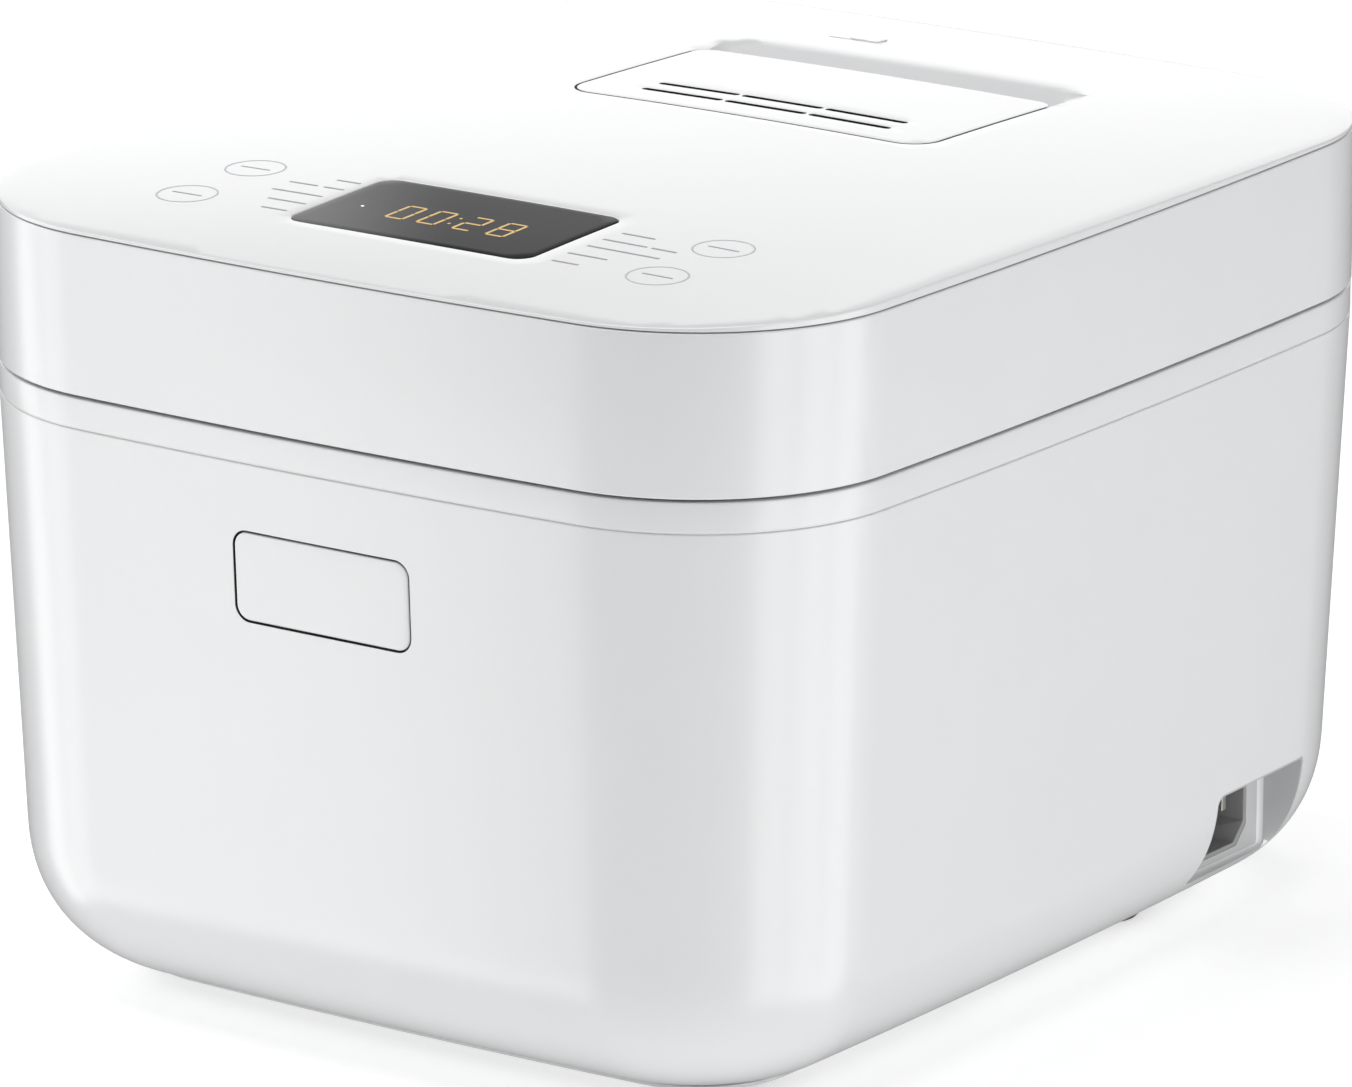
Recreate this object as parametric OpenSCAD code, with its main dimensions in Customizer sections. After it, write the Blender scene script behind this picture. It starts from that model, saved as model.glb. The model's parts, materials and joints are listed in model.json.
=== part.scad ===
// Rice cooker with a hinged lid, made as an assembly of separate sub-parts.
// Frame: origin on the floor under the middle of the body, +Z up, the front faces -Y.

/* [Body] */
// Overall width at the seam between body and lid
body_w = 270; // [260:1:280]
// Overall depth at the seam between body and lid
body_d = 324; // [314:1:334]
// Height of the seam above the floor
seam_z = 170; // [166:1:176]
// Radius of the upright corners at the seam
corner_r = 58; // [52:1:62]
// Wall thickness of the outer shells
wall = 2.5; // [2:0.1:3]
// How much the side walls close in per millimetre of drop
side_taper = 0.041; // [0.035:0.001:0.05]
// How much the front and rear walls close in per millimetre of drop
front_taper = 0.048; // [0.035:0.001:0.055]
// Radius that rolls the walls under the body
belly_r = 39.5; // [36:0.5:41]
// Height of the deck band that shows under the seam
band_h = 8.6; // [7:0.1:10]

/* [Lid] */
// Height of the lid wall above the seam
lid_h = 43; // [40:0.5:46]
// Rise of the crowned lid top in its middle
crown = 5.5; // [4:0.5:6]
// Width of the display window
window_w = 75; // [66:1:80]
// Depth of the display window
window_d = 44.4; // [40:0.2:46]
// Width of the steam vent panel
vent_w = 114.4; // [104:0.2:116]
// Depth of the steam vent panel
vent_d = 65; // [60:0.5:68]

/* [Pot] */
// Inside radius of the removable pot
pot_r = 108; // [104:1:110]
// Wall thickness of the removable pot
pot_wall = 2; // [1.5:0.1:2.5]
// Height of the pot's floor above the table
pot_z = 33; // [32:0.5:35]

/* [Front button] */
// Width of the open button
button_w = 54.6; // [48:0.2:60]
// Height of the open button
button_h = 23.6; // [20:0.2:26]

/* [Power inlet] */
// Width of the inlet's socket
inlet_w = 24.4; // [24:0.1:25]
// Height of the inlet's socket
inlet_h = 16.9; // [16:0.1:17.5]

/* [Hidden] */
$fn = 72;

half_w = body_w / 2;
half_d = body_d / 2;
side_bow_r = 3000;
front_bow_r = 1750;
gap = 0.4;
lid_z0 = seam_z + gap;
lid_z1 = seam_z + lid_h;
top_t = 2.4;
edge_rise = 0.6;
side_rise = 1.4;
shell_z1 = seam_z - band_h;
shell_z0 = 5;
band_step = 0.2;
corner_keep = 0.86;
belly_power = 0.9;
corner_steps = 12;
side_steps = 4;
pot_floor_t = 2.4;
pot_rim_z = seam_z - 3;
pot_out_r = pot_r + pot_wall;
shield_r = pot_out_r + 3;
hinge_inset = 6;
hinge_rise = 9;
hinge_y = half_d - hinge_inset;
hinge_z = seam_z + hinge_rise;
hinge_cut_r = 8.5;
hinge_pin_r = 2;
knuckle_r = 3.8;
knuckle_x = 24;
knuckle_w = 12;
notch_w = 100;
notch_z = hinge_z + 7.5;
window_y = -102.4;
vent_y0 = 25.5;
vent_y1 = vent_y0 + vent_d;
scoop_y = 109;
vent_mid = vent_y0 + vent_d / 2;
slot_rows = [37.3, 45.3];
slot_w = 24.6;
slot_pitch = 27;
button_z = seam_z - 38.6;
latch_z = 151;
latch_y = -147.5;
latch_pin_r = 1.5;
latch_arm_z = button_z;
inlet_x = 115.5;
inlet_y0 = 62.5;
inlet_y1 = 106.6;
inlet_z0 = 16.4;
inlet_z1 = 42.8;
socket_y = 85;
socket_z = 29;
bracket_r = 100;
floor_screws = [for (a = [45 : 90 : 315]) bracket_r * [cos(a), sin(a)]];
deck_bosses = [for (x = [-112, 112], y = [-134, 134]) [x, y]];
lid_bosses = [for (x = [-104, 104], y = [-118, 118]) [x, y]];
front_feet_y = -96;
rear_feet_y = 74;
feet_at = [[-80, front_feet_y], [80, front_feet_y], [-86, rear_feet_y], [86, rear_feet_y]];
board_posts = [for (x = [-83, 83], y = [-125, -75]) [x, y]];
touch_at = [for (x = [-72.6, 72.6], y = [-118, -89]) [x, y]];

// ---------- outline of the body, as arcs ----------
bow_y = front_bow_r - half_d;
bow_x = side_bow_r - half_w;

// Centre of a front right corner circle that touches the front bow and the side bow
function corner_centre(ix, iy, r) =
    let (
        reach_y = front_bow_r - iy - r,
        reach_x = side_bow_r - ix - r,
        apart = norm([bow_x, bow_y]),
        along = (reach_y * reach_y - reach_x * reach_x + apart * apart) / (2 * apart),
        across = sqrt(reach_y * reach_y - along * along)
    )
    [(across * bow_y - along * bow_x) / apart, bow_y - (along * bow_y + across * bow_x) / apart];
function arc(c, r, a0, a1, n) = [
    for (i = [0 : n - 1]) let (a = a0 + (a1 - a0) * i / n) c + r * [cos(a), sin(a)]
];
function quarter(ix, iy, r) =
    let (
        c = corner_centre(ix, iy, r),
        front_end = atan2(c[1] - bow_y, c[0]),
        side_start = atan2(c[1], c[0] + bow_x)
    )
    concat(
        arc([0, bow_y], front_bow_r - iy, -90, front_end, side_steps),
        arc(c, r, front_end, side_start, corner_steps),
        arc([-bow_x, 0], side_bow_r - ix, side_start, 0, side_steps)
    );
function flipped(points, sx, sy) = [for (p = points) [p[0] * sx, p[1] * sy]];
function backwards(points) = [for (i = [len(points) - 1 : -1 : 0]) points[i]];
// A quarter leaves out its last point, so each mirrored quarter supplies the one before it
function shifted(points, last) = concat([for (i = [1 : len(points) - 1]) points[i]], [last]);
// The plan outline moved in by ix at the sides and iy at the front and rear
function outline_at(ix, iy, r) =
    let (q = quarter(ix, iy, r), side = [half_w - ix, 0], front = [0, iy - half_d])
    concat(
        q,
        backwards(shifted(flipped(q, 1, -1), side)),
        flipped(q, -1, -1),
        backwards(shifted(flipped(q, -1, 1), -side))
    );
function outline(inset) = outline_at(inset, inset, corner_r - inset);

function drop(z) = max(0, shell_z1 - z);
function front_inset(z) = band_step + front_taper * drop(z);
function side_inset(z) = band_step + side_taper * drop(z);
// Body outline at height z, rolled in further by roll, then thinned by depth
function body_outline(z, roll, depth) =
    let (ix = side_inset(z) + roll, iy = front_inset(z) + roll)
    outline_at(ix + depth, iy + depth, corner_r - corner_keep * (ix + iy) / 2 - depth);
// Height of the lid's top above the parting line, highest in the middle, with raised sides
function crown_z(x, y) =
    let (u = pow(x / half_w, 2), v = y / half_d, w = 1 - v * v)
    edge_rise + (crown - edge_rise) * (1 - u) * w + side_rise * u * w * (1 - v);

// ---------- helpers ----------
module slab(inset, z0, z1) {
    translate([0, 0, z0]) linear_extrude(z1 - z0) polygon(outline(inset));
}

module rounded(w, d, r) {
    for (s = [-1, 1]) translate([s * (w / 2 - r), 0]) square([2 * r, d - 2 * r], center = true);
    square([w - 2 * r, d], center = true);
    for (s = [-1, 1], t = [-1, 1]) translate([s * (w / 2 - r), t * (d / 2 - r)]) circle(r);
}

module block(w, d, h, r, at) {
    translate(at) linear_extrude(h) rounded(w, d, r);
}

module rod(r, a, h) {
    translate(a) cylinder(r = r, h = h);
}

module tube(r_out, r_in, at, h) {
    translate(at) difference() {
        cylinder(r = r_out, h = h);
        translate([0, 0, -1]) cylinder(r = r_in, h = h + 2);
    }
}

module along_x(r, x0, x1, y, z) {
    translate([x0, y, z]) rotate([0, 90, 0]) cylinder(r = r, h = x1 - x0);
}

module along_y(r, x, y0, y1, z) {
    translate([x, y0, z]) rotate([-90, 0, 0]) cylinder(r = r, h = y1 - y0);
}

// A band of rings, each a list of points, closed into a loop like a hose
module ring_loop(rings) {
    n = len(rings[0]);
    m = len(rings);
    polyhedron(
        points = [for (ring = rings) for (p = ring) p],
        faces = [
            for (k = [0 : m - 1]) for (i = [0 : n - 1])
                let (a = k * n, b = ((k + 1) % m) * n, j = (i + 1) % n)
                each [[a + i, b + j, b + i], [a + i, a + j, b + j]]
        ]
    );
}

// Rings stacked into a closed solid with a flat fan at each end
module ring_stack(rings) {
    n = len(rings[0]);
    m = len(rings);
    polyhedron(
        points = concat([for (ring = rings) for (p = ring) p]),
        faces = concat(
            [
                for (k = [0 : m - 2]) for (i = [0 : n - 1])
                    let (a = k * n, b = (k + 1) * n, j = (i + 1) % n)
                    each [[a + i, b + i, b + j], [a + i, b + j, a + j]]
            ],
            [[for (i = [0 : n - 1]) i]],
            [[for (i = [n - 1 : -1 : 0]) (m - 1) * n + i]]
        )
    );
}

function lifted(points, z) = [for (p = points) [p[0], p[1], z]];
function crowned(points, s, z) = [
    for (p = points) [p[0] * s, p[1] * s, z + crown_z(p[0] * s, p[1] * s)]
];

// The lid's crowned top as a solid sheet, from depth below its surface to its surface
module crown_sheet(depth) {
    edge = outline(0.3);
    tip = outline(0.7);
    scales = [1, 0.93, 0.84, 0.72, 0.58, 0.42, 0.25, 0.08];
    ring_stack(concat(
        [for (i = [len(scales) - 1 : -1 : 1]) crowned(tip, scales[i], lid_z1 - depth)],
        [crowned(tip, 0.97, lid_z1 - depth)],
        [lifted(outline(wall), lid_z1), lifted(edge, lid_z1)],
        [crowned(edge, 1, lid_z1 - 0.35)],
        [for (s = scales) crowned(tip, s, lid_z1)]
    ));
}

// A coil of round wire along Z, one closed tube
module coil(r, wire, height, turns, steps) {
    sides = 6;
    total = turns * steps;
    ring_stack([
        for (k = [0 : total])
            let (a = 360 * k / steps, z = wire + (height - 2 * wire) * k / total)
            [
                for (i = [0 : sides - 1])
                    let (b = -360 * i / sides, rr = r + wire * cos(b))
                    [rr * cos(a), rr * sin(a), z + wire * sin(b)]
            ]
    ]);
}

// A wire of 8 sides through the points of a route
module wire(route, r) {
    sides = 8;
    last = len(route) - 1;
    ring_stack([
        for (k = [0 : last])
            let (
                t = route[min(k + 1, last)] - route[max(k - 1, 0)],
                u = t / norm(t),
                s = abs(u[2]) > 0.9 ? cross(u, [0, 1, 0]) : cross(u, [0, 0, 1]),
                e = s / norm(s),
                f = cross(u, e)
            )
            [
                for (i = [0 : sides - 1])
                    let (b = 360 * i / sides) route[k] + r * (e * cos(b) + f * sin(b))
            ]
    ]);
}

function bezier(a, b, c, d, n) = [
    for (i = [0 : n])
        let (t = i / n, s = 1 - t)
        s * s * s * a + 3 * s * s * t * b + 3 * s * t * t * c + t * t * t * d
];

// Screw driven upwards: the underside of its head lies at height at[2]
module screw(at, length, head_r) {
    translate(at) mirror([0, 0, 1]) difference() {
        union() {
            cylinder(r = head_r, h = 2.2, $fn = 24);
            translate([0, 0, -length]) cylinder(r = 1.5, h = length + 0.1, $fn = 20);
        }
        for (a = [0, 90]) rotate(a) translate([-head_r * 0.6, -0.45, 1])
            cube([head_r * 1.2, 0.9, 2]);
    }
}

// ---------- body ----------
belly_angles = [0, 10, 22, 34, 46, 57, 68, 80];
floor_ix = 39.5;
floor_iy = 40.5;
lip_ix = 35;
lip_iy = 38;
lip_y = -18;

// Ring of the rolled-under belly; depth runs into the wall
function belly_ring(angle, depth) =
    let (
        z = shell_z0 + belly_r * (1 - pow(sin(angle), belly_power)),
        roll = belly_r * (1 - pow(cos(angle), belly_power))
    )
    lifted(body_outline(z, roll, depth * cos(angle)), z + depth * sin(angle));

module body_form(depth) {
    ring_stack(concat(
        [for (i = [len(belly_angles) - 1 : -1 : 0]) belly_ring(belly_angles[i], depth)],
        [lifted(body_outline(shell_z1, 0, depth), shell_z1)]
    ));
}

module body_shell() color("white") difference() {
    union() {
        ring_loop(concat(
            [lifted(body_outline(shell_z1, 0, 0), shell_z1)],
            [for (a = belly_angles) belly_ring(a, 0)],
            [for (i = [len(belly_angles) - 1 : -1 : 0]) belly_ring(belly_angles[i], wall)],
            [lifted(body_outline(shell_z1, 0, wall), shell_z1)]
        ));
        // lugs under the deck posts
        intersection() {
            body_form(1);
            for (p = deck_bosses) rod(9, [p[0] * 1.03, p[1] * 1.03, shell_z1 - 29], 8);
        }
    }
    for (p = deck_bosses) rod(1.8, [p[0], p[1], shell_z1 - 40], 30);
    // hole for the open button
    translate([0, -half_d + 12, button_z]) rotate([90, 0, 0])
        linear_extrude(20) rounded(button_w + 1, button_h + 1, 4.5);
    // mouth of the power inlet
    translate([inlet_x - 2.3, inlet_y0, inlet_z0]) inlet_box(0);
}

module deck_plate() {
    difference() {
        slab(band_step, shell_z1 + 0.4, seam_z - gap);
        // hollow under the deck, with a collar left around the pot
        difference() {
            slab(wall + 1, shell_z1 - 1, seam_z - gap - 3);
            rod(pot_out_r + 8, [0, 0, shell_z1 - 2], 20);
        }
    }
    // lip that drops inside the shell
    difference() {
        slab(wall + 1, shell_z1 - 6, seam_z - gap - 2);
        slab(wall + 3, shell_z1 - 7, seam_z - gap - 1);
    }
    // posts for the deck screws
    for (p = deck_bosses) tube(4.4, 1.6, [p[0], p[1], shell_z1 - 20], 26);
}

module deck() color("whitesmoke") difference() {
    deck_plate();
    rod(pot_out_r + 1.2, [0, 0, shell_z1 - 10], 30);
    rod(pot_out_r + 6, [0, 0, pot_rim_z - 1.4], 10);
    // slot for the latch hook
    translate([-9, latch_y - 7, shell_z1 - 1]) cube([18, 14, 20]);
}

module floor_slab(ix, iy, z0, z1) {
    translate([0, 0, z0]) linear_extrude(z1 - z0)
        polygon(outline_at(ix, iy, corner_r - corner_keep * (ix + iy) / 2));
}

module base_cover() color("lightgray") difference() {
    union() {
        floor_slab(floor_ix, floor_iy, shell_z0 - 0.4, shell_z0 + 2);
        // lip under the front half, around the front corners
        intersection() {
            floor_slab(lip_ix, lip_iy, shell_z0 - 1.2, shell_z0 - 0.1);
            translate([-half_w, -half_d, 0]) cube([body_w, half_d + lip_y, 20]);
        }
        for (p = floor_screws) rod(6, [p[0], p[1], shell_z0], 2.6);
    }
    // air vents in rows of straight slots
    for (i = [-4 : 4]) translate([i * 9 - 1.5, -30, -1]) cube([3, 60, 10]);
    for (s = [-1, 1], i = [0 : 2])
        translate([s * (48 + i * 9) - 1.5, -22, -1]) cube([3, 44, 10]);
    for (p = floor_screws) rod(2, [p[0], p[1], -1], 30);
    for (p = floor_screws) rod(4.2, [p[0], p[1], -1], shell_z0 + 1.6);
    for (p = feet_at) rod(4, [p[0], p[1], -1], 10);
}

module feet() color("dimgray") for (p = feet_at) let (h = shell_z0 - (p[1] < lip_y ? 1.2 : 0.4))
    translate([p[0], p[1], 0]) {
        rotate_extrude() polygon([[0, 0], [9, 0], [10, 1], [10, h], [0, h]]);
        cylinder(r = 3.95, h = shell_z0 + 2);
    }

module base_screws() color("silver") for (p = floor_screws)
    screw([p[0], p[1], shell_z0 + 0.6], 9, 3.4);

module deck_screws() color("silver") for (p = deck_bosses)
    screw([p[0], p[1], shell_z1 - 29], 16, 3.2);

// ---------- power inlet ----------
module socket_outline(grow) {
    w = inlet_w / 2 + grow;
    h = inlet_h / 2 + grow;
    cut = 5;
    polygon([[-w, h], [w, h], [w, cut - h], [w - cut, -h], [cut - w, -h], [-w, cut - h]]);
}

module across_x(x0, x1) {
    translate([x0, socket_y, socket_z]) rotate([90, 0, 90]) linear_extrude(x1 - x0) children();
}

// Box over the recess, larger by grow on each side, that starts at x = 0
module inlet_box(grow) translate([0, -grow, -grow])
    cube([30, inlet_y1 - inlet_y0 + 2 * grow, inlet_z1 - inlet_z0 + 2 * grow]);

module inlet_panel() color("silver") difference() {
    intersection() {
        translate([inlet_x - 2, inlet_y0, inlet_z0]) inlet_box(1.5);
        body_form(wall + 0.2);
    }
    translate([inlet_x, inlet_y0, inlet_z0]) inlet_box(0);
    across_x(inlet_x - 5, inlet_x + 5) socket_outline(1.3);
}

module power_inlet() color("dimgray") difference() {
    union() {
        across_x(inlet_x - 16, inlet_x) socket_outline(1.2);
        across_x(inlet_x - 4.6, inlet_x - 2.2) square([34, 22], center = true);
    }
    across_x(inlet_x - 14, inlet_x + 1) socket_outline(0);
    for (p = [[-7, 2], [7, 2], [0, -2]]) translate([inlet_x - 30, socket_y + p[0], socket_z + p[1]])
        translate([0, -1, -2]) cube([20, 2, 4]);
}

module inlet_pins() color("gold") for (p = [[-7, 2], [7, 2], [0, -2]])
    translate([inlet_x - 22, socket_y + p[0] - 1, socket_z + p[1] - 2]) cube([19, 2, 4]);

module power_leads() color("firebrick") for (i = [0 : 2])
    let (
        from = [inlet_x - 22, socket_y + [-7, 0, 7][i], socket_z + [2, -2, 2][i]],
        to = [36 + 6 * i, board_y - 1.8, 52]
    )
    wire(concat(
        [from],
        bezier(from - [1.5, 0, 0], from + [-9, 10, 0], [72 + 3 * i, 128 + 2 * i, 44], to, 14)
    ), 1.3);

// ---------- pot and heating ----------
module inner_pot() color("darkslategray") rotate_extrude($fn = 96) difference() {
    union() {
        translate([0, pot_z - pot_floor_t]) square([pot_out_r - 22, 30]);
        translate([pot_out_r - 22, pot_z - pot_floor_t + 22]) circle(22);
        translate([0, pot_z - pot_floor_t + 22]) square([pot_out_r, pot_rim_z - pot_z - 19.6]);
        translate([0, pot_rim_z]) square([pot_out_r + 5, 2]);
    }
    translate([0, pot_z]) square([pot_r - 20, 30]);
    intersection() {
        translate([pot_r - 20, pot_z + 20]) circle(20);
        square([400, 400]);
    }
    translate([0, pot_z + 20]) square([pot_r, 200]);
    translate([-300, -10]) square([300, 400]);
}

module pot_shield() color("lightsteelblue") {
    tube(shield_r + 0.8, shield_r, [0, 0, pot_z - 12], shell_z1 - 0.4 - pot_z + 12);
    difference() {
        tube(shield_r + 0.8, 84, [0, 0, pot_z - 12], 0.8);
        for (a = [45 : 90 : 315]) rotate(a) rod(2, [bracket_r, 0, pot_z - 15], 8);
    }
}

module shield_brackets() color("silver") for (a = [45 : 90 : 315]) rotate(a) difference() {
    union() {
        rod(4.5, [bracket_r, 0, shell_z0 + 2.6], pot_z - 12 - shell_z0 - 2.6);
        translate([bracket_r, -5, pot_z - 16.2]) cube([9, 10, 4.2]);
    }
    rod(1.6, [bracket_r, 0, 0], 60);
}

module heating_plate() color("silver") difference() {
    union() {
        rod(80, [0, 0, pot_z - pot_floor_t - 9], 9);
        rod(70, [0, 0, pot_z - pot_floor_t - 12], 4);
    }
    rod(19, [0, 0, 0], 60);
    for (a = [0 : 120 : 240]) rotate(a) rod(2, [64, 0, 0], pot_z - pot_floor_t - 5);
    translate([0, 0, pot_z - pot_floor_t - 12]) rotate_extrude() translate([50, 0]) circle(3.6);
}

module heating_element() color("darkgray") {
    translate([0, 0, pot_z - pot_floor_t - 12]) difference() {
        rotate_extrude() translate([50, 0]) circle(3.4);
        translate([30, -8, -10]) cube([40, 16, 20]);
    }
    for (s = [-1, 1]) rod(2.2, [49.2, s * 9.4, pot_z - pot_floor_t - 22], 9);
}

module plate_legs() color("tan") for (a = [0 : 120 : 240]) rotate(a)
    tube(5, 2.2, [64, 0, shell_z0 + 2], pot_z - pot_floor_t - 12 - shell_z0 - 2);

module plate_screws() color("silver") for (a = [0 : 120 : 240]) rotate(a)
    rod(1.9, [64, 0, shell_z0 + 2.1], pot_z - pot_floor_t - 8 - shell_z0);

// ---------- temperature sensor in the middle of the plate ----------
sensor_top = pot_z - pot_floor_t - 0.15;

module sensor_housing() color("gainsboro") difference() {
    union() {
        rod(17, [0, 0, shell_z0 + 2], 12);
        rod(18.4, [0, 0, shell_z0 + 2], 2);
    }
    rod(14, [0, 0, shell_z0 + 4], 30);
    rod(5, [0, 0, 0], 30);
}

module sensor_spring() color("silver") translate([0, 0, shell_z0 + 4.2])
    coil(9, 0.8, sensor_top - 4.4 - shell_z0 - 4.2, 4, 16);

module sensor_cap() color("silver") difference() {
    rod(12.5, [0, 0, sensor_top - 12], 12);
    rod(11, [0, 0, sensor_top - 14], 10);
}

module thermal_fuse() color("tan") difference() {
    union() {
        translate([-8, 84, shell_z0 + 2]) cube([16, 7, 7]);
        along_x(1, -13, 13, 87.5, shell_z0 + 5.5);
    }
    along_y(0.9, 0, 80, 95, shell_z0 + 7.6);
}

// ---------- power board behind the pot ----------
board_y = 143;

module power_board() color("seagreen") difference() {
    translate([-62, board_y, 44]) cube([124, 1.6, 84]);
    for (x = [-56, 56], z = [50, 122]) along_y(1.7, x, board_y - 5, board_y + 5, z);
}

module power_parts() {
    color("goldenrod") translate([-46, board_y - 16, 92]) cube([30, 15.9, 26]);
    color("black") translate([-8, board_y - 15, 96]) cube([18, 14.9, 14]);
    color("black") along_y(6, -34, board_y - 14, board_y - 0.1, 66);
    color("royalblue") along_y(5, 42, board_y - 9, board_y - 0.1, 110);
    color("silver") translate([14, board_y - 14, 56]) cube([34, 13.9, 22]);
    color("ivory") translate([-14, board_y - 8, 52]) cube([20, 7.9, 10]);
}

module board_brackets() color("gainsboro") for (s = [-1, 1]) difference() {
    union() {
        translate([s * 56 - 6, board_y + 1.7, 44]) cube([12, 3, 84]);
        // studs to the rear wall
        for (z = [50, 122]) along_y(4, s * 56, board_y + 4.6, half_d - wall - 1.2 - front_inset(z), z);
    }
    for (z = [50, 122]) along_y(1.7, s * 56, board_y - 5, board_y + 9, z);
}

// ---------- open button and latch ----------
button_y = -half_d + front_inset(button_z);

// Slices of the front wall between two depths behind its outer face
module front_wall(depth0, depth1) {
    translate([0, button_y, button_z]) rotate([atan(front_taper), 0, 0])
        translate([0, front_bow_r, -60]) difference() {
            intersection() {
                cylinder(r = front_bow_r - depth0, h = 120, $fn = 720);
                translate([-60, -front_bow_r - 5, 0]) cube([120, 40, 120]);
            }
            translate([0, 0, -1]) cylinder(r = front_bow_r - depth1, h = 122, $fn = 720);
        }
}

module through_front(w, h, r) {
    translate([0, -half_d + 30, button_z]) rotate([90, 0, 0])
        linear_extrude(60) rounded(w, h, r);
}

module button_frame() color("gainsboro") difference() {
    intersection() {
        front_wall(2.9, 7.5);
        through_front(button_w + 9, button_h + 9, 6);
    }
    through_front(button_w + 1.2, button_h + 1.2, 4.6);
}

module open_button() color("white") {
    intersection() {
        front_wall(0, 4.5);
        through_front(button_w, button_h, 4);
    }
    // stem that pushes the latch
    along_y(3.2, 0, button_y + 4, latch_y - 2.1, button_z);
    // pins that carry the springs
    for (s = [-1, 1]) along_y(1.6, s * 18, button_y + 4, button_y + 8.4, button_z);
}

module button_spring() color("silver") for (s = [-1, 1])
    translate([s * 18, button_y + 5.1, button_z]) rotate([-90, 0, 0]) coil(2.7, 0.4, 9.2, 4, 10);

module latch_bracket() color("gainsboro") difference() {
    union() {
        for (s = [-1, 1]) translate([s * 13 - 1.5, latch_y - 4, latch_z - 5]) cube([3, 18, 12.2]);
        // walls behind the button springs
        for (s = [-1, 1]) translate([s * 18 - 4, latch_y + 2, button_z - 5])
            cube([8, 3, latch_z + 7.2 - button_z + 5]);
        translate([-22, latch_y + 4.9, latch_z + 4.1]) cube([44, 9, 3.1]);
        // posts up to the deck
        for (s = [-1, 1]) translate([s * 18 - 4, latch_y + 4.9, latch_z + 7])
            cube([8, 9, seam_z - gap - 3 - latch_z - 7]);
    }
    along_x(latch_pin_r + 0.05, -20, 20, latch_y, latch_z);
    translate([-8, latch_y - 20, latch_z - 20]) cube([16, 27, 60]);
}

module latch_pin() color("silver") along_x(latch_pin_r, -15.5, 15.5, latch_y, latch_z);

module latch_lever() color("slategray") difference() {
    union() {
        along_x(3.6, -6, 6, latch_y, latch_z);
        translate([-6, latch_y - 1.5, latch_arm_z - 3]) cube([12, 3, latch_z - latch_arm_z + 3]);
        translate([-6, latch_y - 1.5, latch_z]) cube([12, 3, seam_z + 7.2 - latch_z]);
        // nose of the hook
        translate([-6, latch_y, seam_z + 4.2]) rotate([90, 0, 90])
            linear_extrude(12) polygon([[0, 0], [4.2, 0], [4.2, 1], [0, 5]]);
    }
    along_x(latch_pin_r + 0.05, -20, 20, latch_y, latch_z);
}

module latch_spring() color("silver") translate([-11.3, latch_y, latch_z]) rotate([0, 90, 0])
    coil(2.4, 0.4, 5, 4, 10);

// ---------- hinge ----------
module hinge_bracket() color("gainsboro") difference() {
    union() {
        for (x = [-42, -9, 34]) let (w = x == -9 ? 18 : 8) {
            along_x(knuckle_r, x, x + w, hinge_y, hinge_z);
            translate([x, hinge_y - knuckle_r, seam_z - gap]) cube([w, 7.2, hinge_rise + gap]);
        }
        translate([-46, hinge_y - 7, seam_z - gap]) cube([92, 10.2, 1.8]);
    }
    along_x(hinge_pin_r + 0.05, -60, 60, hinge_y, hinge_z);
}

module hinge_pin() color("silver") along_x(hinge_pin_r, -43, 43, hinge_y, hinge_z);

module hinge_spring() color("silver") translate([10, hinge_y, hinge_z]) rotate([0, 90, 0])
    coil(2.9, 0.4, 6.6, 5, 12);

module hinge_cover() color("whitesmoke") intersection() {
    difference() {
        slab(band_step, seam_z - gap, hinge_z + 4.4);
        slab(band_step + 1.4, seam_z - gap - 1, hinge_z + 10);
    }
    translate([-notch_w / 2 + 0.8, hinge_y - 5, seam_z - gap])
        cube([notch_w - 1.6, 30, 40]);
}

// ---------- lid ----------
module hinge_clearance() {
    // the lower rear edge follows a round path about the hinge axis
    difference() {
        translate([-half_w, hinge_y, seam_z - 5]) cube([body_w, 40, hinge_rise + 5]);
        along_x(hinge_cut_r, -half_w - 1, half_w + 1, hinge_y, hinge_z);
    }
}

module hinge_notch() {
    translate([-notch_w / 2, hinge_y - 12, seam_z - 5]) cube([notch_w, 40, notch_z - seam_z + 5]);
}

module lid_skirt() color("white") difference() {
    slab(0, lid_z0, lid_z1 - gap);
    slab(wall, lid_z0 - 1, lid_z1 + 1);
    hinge_clearance();
    hinge_notch();
}

module lid_top() color("white") difference() {
    union() {
        crown_sheet(top_t);
        // rim that drops inside the skirt
        difference() {
            slab(wall + gap, lid_z1 - 6, lid_z1 + 0.1);
            slab(wall + gap + 1.5, lid_z1 - 7, lid_z1 + 1);
        }
        // posts for the control board
        for (p = board_posts) rod(3.2, [p[0], p[1], lid_z1 - 6.4], 8);
        // posts for the lid screws
        for (p = lid_bosses) tube(4, 1.6, [p[0], p[1], lid_z0 + 6.2], lid_h - 5.8);
    }
    // display window, resting on a lip
    block(window_w - 4, window_d - 4, 40, 4, [0, window_y, lid_z1 - 10]);
    intersection() {
        translate([0, 0, 4]) crown_sheet(5.7);
        block(window_w + 0.3, window_d + 0.3, 40, 5, [0, window_y, lid_z1 - 10]);
    }
    // steam vent and the finger scoop behind it
    translate([0, 0, lid_z1 - 10]) linear_extrude(40) {
        translate([0, vent_mid]) rounded(vent_w + 0.9, vent_d + 0.9, 9);
        translate([-vent_w / 2 - 0.45, vent_y1 - 20]) square([vent_w + 0.9, scoop_y - vent_y1 + 20]);
    }
}

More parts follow.
